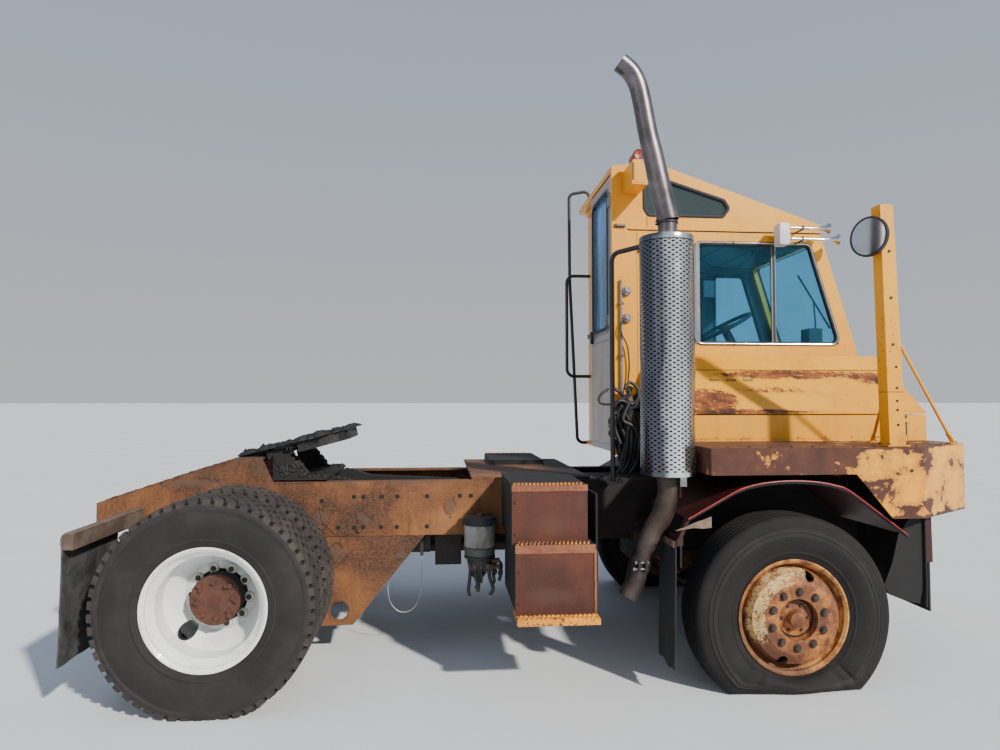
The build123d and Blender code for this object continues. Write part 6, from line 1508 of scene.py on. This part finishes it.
# ================================================================ mud flaps: bowed rubber sheets with their clamp strips
def flap(sh, x, y0, y1, z0, z1, bow, seed, mat=0, thick=0.008, taper=0.0):
    nu, nv = 10, 16
    for side_ in (0, 1):
        pts = []
        for j in range(nv + 1):
            v = j / nv
            z = z1 + (z0 - z1) * v
            for i in range(nu + 1):
                u = i / nu
                y = y0 + (y1 - y0) * u
                k2 = mnoise.noise(Vector((u * 2.2, v * 2.6, seed)))
                zz = z + (0.012 * mnoise.noise(Vector((u * 5.0, seed, 1.0))) + taper * (u - 0.5)) * (v ** 3)
                xx = x + bow * math.sin(v * 1.5) * v + 0.010 * k2 * v - (thick if side_ else 0.0)
                pts.append(P(xx, y, zz))
        base = len(sh.v)
        faces = []
        for j in range(nv):
            for i in range(nu):
                a = j * (nu + 1) + i
                q = (a, a + 1, a + nu + 2, a + nu + 1)
                faces.append(q if side_ else tuple(reversed(q)))
        sh.put(pts, faces, mat)
        if side_:
            m = (nu + 1) * (nv + 1)
            f0, b0 = base - m, base
            rimf = [j * (nu + 1) for j in range(nv + 1)] + [nv * (nu + 1) + i for i in range(1, nu + 1)] + [j * (nu + 1) + nu for j in range(nv - 1, -1, -1)] + [i for i in range(nu - 1, 0, -1)]
            for a, b in zip(rimf, rimf[1:] + rimf[:1]):
                sh.f.append((f0 + a, f0 + b, b0 + b, b0 + a))
                sh.m.append(mat)


sh = Shape()
for s in (1, -1):
    flap(sh, -0.633, s * 0.645, s * 1.212, 0.262, 0.868, -0.006, 3.0 + s, taper=0.0)
    flap(sh, 2.320, s * 0.905, s * 1.162, 0.135, 0.788, -0.012, 6.0 + s)
    flap(sh, 3.702, s * 0.775, s * 1.115, 0.404, 1.200, 0.004, 9.0 + s)
    # clamp strips and bolts on the rear flap
    y0, y1 = sorted((s * 0.645, s * 1.208))
    sh.box(-0.647, -0.642, y0, y1, 0.822, 0.862, 1)
    for i in range(5):
        sh.nut(P(-0.647, s * (0.70 + 0.115 * i), 0.842), (-1, 0, 0), 0.019, 0.008, 2)
    y0, y1 = sorted((s * 0.910, s * 1.158))
    sh.box(2.304, 2.309, y0, y1, 0.752, 0.784, 1)
    for i in range(3):
        sh.nut(P(2.304, s * (0.95 + 0.085 * i), 0.768), (-1, 0, 0), 0.016, 0.007, 2)
    # angular cover strip on top of the rear flap's arm
    prof = [(-0.641, 0.779), (-0.640, 0.872), (-0.622, 0.886), (-0.586, 0.886), (-0.582, 0.880), (-0.626, 0.878), (-0.634, 0.868), (-0.635, 0.779)]
    y0, y1 = sorted((s * 0.432, s * 1.2145))
    sh.loft([[P(x, y0, z) for x, z in prof], [P(x, y1, z) for x, z in prof]], 3)
sh.object("flap_sheets", ["flap", "brown", "bolt", "wing"], "chassis", "black_rubber", angle=40, stands_for=("mud_flaps",))

# ================================================================ fuel filter
sh = Shape()
FX, FY = 1.350, -0.560
# black cap with ribs and centre bolt
sh.lathe(P(FX, FY, 0), (0, 0, 1), [(0.0, 0.834), (0.030, 0.834), (0.034, 0.829), (0.086, 0.829), (0.096, 0.824), (0.0985, 0.812), (0.0985, 0.786), (0.094, 0.782), (0.0, 0.782)], 56, 0, closed=False)
sh.nut(P(FX, FY, 0.832), (0, 0, 1), 0.030, 0.012, 2)
for i in range(24):
    a = TAU * i / 24
    sh.box(FX + 0.0985 * math.cos(a) - 0.003, FX + 0.0985 * math.cos(a) + 0.003, FY + 0.0985 * math.sin(a) - 0.003, FY + 0.0985 * math.sin(a) + 0.003, 0.786, 0.812, 0)
# see-through bowl with a label-less paper element, pale upper and green-grey lower part
sh.lathe(P(FX, FY, 0), (0, 0, 1), [(0.0, 0.782), (0.088, 0.782), (0.0905, 0.775), (0.0905, 0.660), (0.086, 0.655)], 56, 1, closed=False)
sh.lathe(P(FX, FY, 0), (0, 0, 1), [(0.0860, 0.656), (0.0925, 0.654), (0.0940, 0.648), (0.0900, 0.640), (0.0880, 0.612), (0.084, 0.606)], 56, 3, closed=False)
sh.lathe(P(FX, FY, 0), (0, 0, 1), [(0.0850, 0.607), (0.0900, 0.604), (0.0900, 0.592), (0.0740, 0.586), (0.0720, 0.560), (0.0660, 0.552), (0.0, 0.552)], 56, 0, closed=False)
# heads, drain, sensor and hanging hoses below
sh.box(FX - 0.060, FX + 0.075, FY - 0.055, FY + 0.055, 0.520, 0.560, 0)
sh.lathe(P(FX - 0.010, FY, 0), (0, 0, 1), [(0.0, 0.522), (0.046, 0.522), (0.048, 0.500), (0.036, 0.482), (0.022, 0.470), (0.014, 0.440), (0.012, 0.405), (0.0, 0.404)], 32, 0, closed=False)
sh.nut(P(FX - 0.010, FY, 0.392), (0, 0, 1), 0.020, 0.016, 2)
for dx, dy, ln, sw, r in ((-0.055, -0.030, 0.170, -0.010, 0.010), (-0.030, -0.052, 0.120, 0.012, 0.008), (0.045, -0.045, 0.165, 0.030, 0.011), (0.070, -0.020, 0.110, 0.015, 0.009), (0.085, 0.020, 0.060, 0.008, 0.012), (0.005, -0.058, 0.090, 0.004, 0.007)):
    p0 = P(FX + dx, FY + dy, 0.545)
    sh.pipe(smooth_line([p0, p0 + Vector((sw * 0.4, 0, -ln * 0.4)), p0 + Vector((sw, 0.01, -ln * 0.8)), p0 + Vector((sw * 0.5, 0.02, -ln))], 6), r, 12, 0)
    sh.rod(p0 + Vector((0, 0, -0.006)), p0 + Vector((0, 0, 0.016)), r * 1.5, 6, 2)
for z, r in ((0.575, 0.0165), (0.540, 0.0135)):
    sh.rod(P(FX + 0.060, FY - 0.02, z), P(FX + 0.115, FY - 0.02, z), r, 6, 2)
    sh.pipe(smooth_line([P(FX + 0.105, FY - 0.02, z), P(FX + 0.125, FY - 0.01, z - 0.03), P(FX + 0.118, FY + 0.03, z - 0.09)], 6), 0.010, 12, 0)
# bracket to the rail
sh.box(1.300, 1.400, -0.480, -0.430, 0.720, 0.790, 0)
sh.box(1.262, 1.438, -0.486, -0.474, 0.700, 0.830, 0)
for dx in (-0.055, 0.055):
    for dz in (-0.025, 0.03):
        sh.nut(P(1.35 + dx, -0.486, 0.765 + dz), (0, -1, 0), 0.018, 0.010, 2)
sh.object("filter_details", ["plastic", "filter", "brown", "filter_low"], "chassis", "filter_body", angle=35, stands_for=("fuel_filter",))

# ================================================================ hood: seams, slots, latch
SLOPE_N = Vector((0, -0.6099, 0.7925))


def on_slope(x, y, lift=0.0):
    return P(x, y, 1.432 + 0.7695 * (y + 0.600)) + SLOPE_N * lift


def slope_strip(sh, x0, x1, y0, y1, lift, mat):
    """Thin plate lying on the hood's slope."""
    sh.loft([[on_slope(x0, y0, -0.001), on_slope(x1, y0, -0.001), on_slope(x1, y1, -0.001), on_slope(x0, y1, -0.001)],
             [on_slope(x0, y0, lift), on_slope(x1, y0, lift), on_slope(x1, y1, lift), on_slope(x0, y1, lift)]], mat)


sh = Shape()
# panel seam along the slope and drip edge at the foot
slope_strip(sh, 2.502, 4.096, -0.2525, -0.2475, 0.0009, 0)
slope_strip(sh, 2.502, 4.096, -0.5985, -0.5915, 0.0022, 1)
# pressed slots below the seam, each with its raised lip
for x0 in (2.827, 2.938, 3.049):
    slope_strip(sh, x0, x0 + 0.068, -0.350, -0.326, 0.0008, 3)
    ring = [(-0.324, 0.0), (-0.325, 0.0025), (-0.329, 0.0035), (-0.331, 0.0030), (-0.331, 0.0015)]
    sh.loft([[on_slope(x, y, h) for y, h in ring] for x in (x0 - 0.003, x0 + 0.071)], 1)
# rivets along the upper seam
for i in range(20):
    x = 2.55 + i * 0.079
    c = on_slope(x, -0.236, 0.0)
    sh.lathe(c, SLOPE_N, [(0.0045, 0.0), (0.0035, 0.0018), (0.0, 0.0022)], 10, 1, closed=False)
# upper half of the latch slot
slope_strip(sh, 3.952, 3.972, -0.598, -0.512, 0.0012, 2)
sh.loft([[on_slope(3.944, -0.530, 0.0), on_slope(3.980, -0.530, 0.0), on_slope(3.980, -0.560, 0.0), on_slope(3.944, -0.560, 0.0)],
         [on_slope(3.947, -0.533, 0.012), on_slope(3.977, -0.533, 0.012), on_slope(3.977, -0.557, 0.012), on_slope(3.947, -0.557, 0.012)]], 1)
sh.object("hood_details", ["gap", "hood", "bolt", "slot"], "hood_lid", "yellow_paint", angle=40)

sh = Shape()
# lower half of the latch slot, keeper, bolts along the deck
sh.box(3.952, 3.972, -0.6015, -0.599, 1.291, 1.412, 2)
sh.box(3.940, 3.984, -0.6080, -0.6000, 1.372, 1.392, 1)
for i in range(9):
    sh.nut(P(2.60 + i * 0.17, -0.600, 1.283), (0, -1, 0), 0.013, 0.005, 1, spin=0.5 * i)
sh.object("skirt_details", ["gap", "skirt", "bolt"], "chassis", "yellow_paint", angle=40)

# ================================================================ mirror rim, clamp and the post's holes
sh = Shape()
MC = P(3.407, -1.120, 2.383)
MN = Vector((-0.92, -0.392, 0)).normalized()
sh.lathe(MC, MN, [(0.0975, 0.0005), (0.0985, 0.0030), (0.1045, 0.0040), (0.1085, 0.0010), (0.1090, -0.0160), (0.1060, -0.0200), (0.0950, -0.0225), (0.0600, -0.0270), (0.0, -0.0290)], 72, 0, closed=False)
sh.rod(MC - MN * 0.024, MC - MN * 0.044, 0.020, 24, 0)
sh.nut(MC - MN * 0.042, -MN, 0.024, 0.012, 1)
sh.box(3.476, 3.502, -1.092, -1.068, 2.362, 2.404, 0)
sh.object("mirror_rim", ["black", "bolt"], "chassis", "black_tube", angle=35)

sh = Shape()


def post_x(z, front):
    """Rear or front edge of the post at height z."""
    t = (z - 1.260) / (2.552 - 1.260)
    return (3.578 + (3.530 - 3.578) * t) if front else (3.486 + (3.458 - 3.486) * t)


for z, d in ((1.680, 0.052), (1.569, 0.052), (1.500, 0.050), (1.452, 0.050), (1.373, 0.050)):
    x = post_x(z, False) + d
    sh.lathe(P(x, -1.150, z), (0, -1, 0), [(0.0075, 0.0), (0.0075, 0.0008), (0.0, 0.0008)], 18, 0, closed=False)
    sh.lathe(P(x, -1.150, z), (0, -1, 0), [(0.0100, 0.0), (0.0095, 0.0012), (0.0075, 0.0010)], 18, 1, closed=False)
for z in (2.30, 2.05, 1.80):
    sh.nut(P(post_x(z, False) + 0.040, -1.150, z), (0, -1, 0), 0.014, 0.006, 2, spin=z)
# joint of the two lengths, weld bead and the foot plate with its bolts
sh.box(post_x(1.548, False) - 0.0008, post_x(1.548, True) + 0.0008, -1.1508, -1.0695, 1.5465, 1.5490, 0)
for x0, x1 in ((3.470, 3.594),):
    sh.box(x0, x1, -1.160, -1.060, 1.260, 1.268, 1)
    for x in (x0 + 0.010, x1 - 0.010):
        for y in (-1.152, -1.068):
            sh.nut(P(x, y, 1.268), (0, 0, 1), 0.015, 0.007, 2)
# flattened brace ends with bolts, and their pads on the deck
for (xa, ya, za), (xb, yb, zb) in (((3.546, -1.100, 1.880), (4.004, -0.938, 1.269)), ((3.500, -1.085, 1.520), (3.640, -0.765, 1.269))):
    a, b = P(xa, ya, za), P(xb, yb, zb)
    d = (a - b).normalized()
    side = Vector((0, 0, 1)).cross(d).normalized()
    up2 = d.cross(side)
    for c, ln in ((b, 0.062),):
        rings = []
        for t, w, h in ((-0.002, 0.013, 0.004), (ln * 0.6, 0.013, 0.004), (ln, 0.0098, 0.0098)):
            o = c + d * t
            rings.append([o + side * w + up2 * h, o - side * w + up2 * h, o - side * w - up2 * h, o + side * w - up2 * h])
        sh.loft(rings, 1)
    sh.box(xb - 0.028, xb + 0.028, yb - 0.022, yb + 0.022, 1.2595, 1.2655, 1)
    sh.nut(P(xb + 0.014, yb, 1.2655), (0, 0, 1), 0.016, 0.009, 2)
    sh.rod(a - d * 0.030, a - d * 0.004, 0.0125, 18, 1)
sh.object("post_details", ["gap", "post", "bolt"], "chassis", "yellow_paint", angle=40)

# ================================================================ deck and bumper: bolts
sh = Shape()
sh.nut(P(3.569, -1.200, 1.137), (0, -1, 0), 0.016, 0.006, 1, spin=0.4)
for i in range(11):
    sh.nut(P(2.60 + i * 0.115, -1.150, 1.2605), (0, 0, 1), 0.013, 0.005, 1, spin=0.7 * i)
sh.object("band_details", ["bolt", "bolt"], "chassis", "flaking_yellow", angle=40)

# ---- built details end
# ================================================================ floor and light
bpy.ops.mesh.primitive_plane_add(size=900, location=(0, 0, -0.0005))
floor = bpy.context.object
floor.name = "floor"
k = Mat("pale_floor")
d = k.vec("LENGTH", k.pos)
tone = k.mix(k.step(k.noise(0.9, 5, 0.6), 0.35, 0.7), (0.68, 0.69, 0.71), (0.72, 0.73, 0.745))
floor.data.materials.append(k.finish(Base_Color=tone, Roughness=0.9, Normal=k.bump(k.noise(14, 5), 0.15, 0.01)))

world = bpy.data.worlds.new("studio")
scene.world = world
world.use_nodes = True
wt = world.node_tree
bg = wt.nodes["Background"]
tc = wt.nodes.new("ShaderNodeTexCoord")
sx = wt.nodes.new("ShaderNodeSeparateXYZ")
rp = wt.nodes.new("ShaderNodeValToRGB")
wt.links.new(tc.outputs["Generated"], sx.inputs[0])
mr = wt.nodes.new("ShaderNodeMapRange")
mr.inputs["From Min"].default_value, mr.inputs["From Max"].default_value = -0.1, 1.0
wt.links.new(sx.outputs[2], mr.inputs["Value"])
wt.links.new(mr.outputs[0], rp.inputs[0])
rp.color_ramp.elements[0].position, rp.color_ramp.elements[0].color = 0.09, (0.78, 0.81, 0.85, 1)
rp.color_ramp.elements[1].position, rp.color_ramp.elements[1].color = 0.75, (0.46, 0.58, 0.76, 1)
wt.links.new(rp.outputs[0], bg.inputs[0])
bg.inputs[1].default_value = 0.72


def light(name, kind, loc, target, energy, size=None, colour=(1, 1, 1), angle=None):
    ld = bpy.data.lights.new(name, kind)
    ld.energy, ld.color = energy, colour
    if size:
        ld.shape, ld.size = "SQUARE", size
    if angle:
        ld.angle = math.radians(angle)
    ob = bpy.data.objects.new(name, ld)
    scene.collection.objects.link(ob)
    ob.location = loc
    ob.rotation_euler = (Vector(target) - Vector(loc)).to_track_quat("-Z", "Y").to_euler()
    return ob


light("key", "SUN", (4.6, -6.5, 6.0), (0, 0, 0.8), 5.5, colour=(1.0, 0.965, 0.90), angle=2.5)
light("fill", "AREA", (-6.5, -5.0, 4.5), (0, 0, 1.2), 60, 5.0, (0.93, 0.96, 1.0))
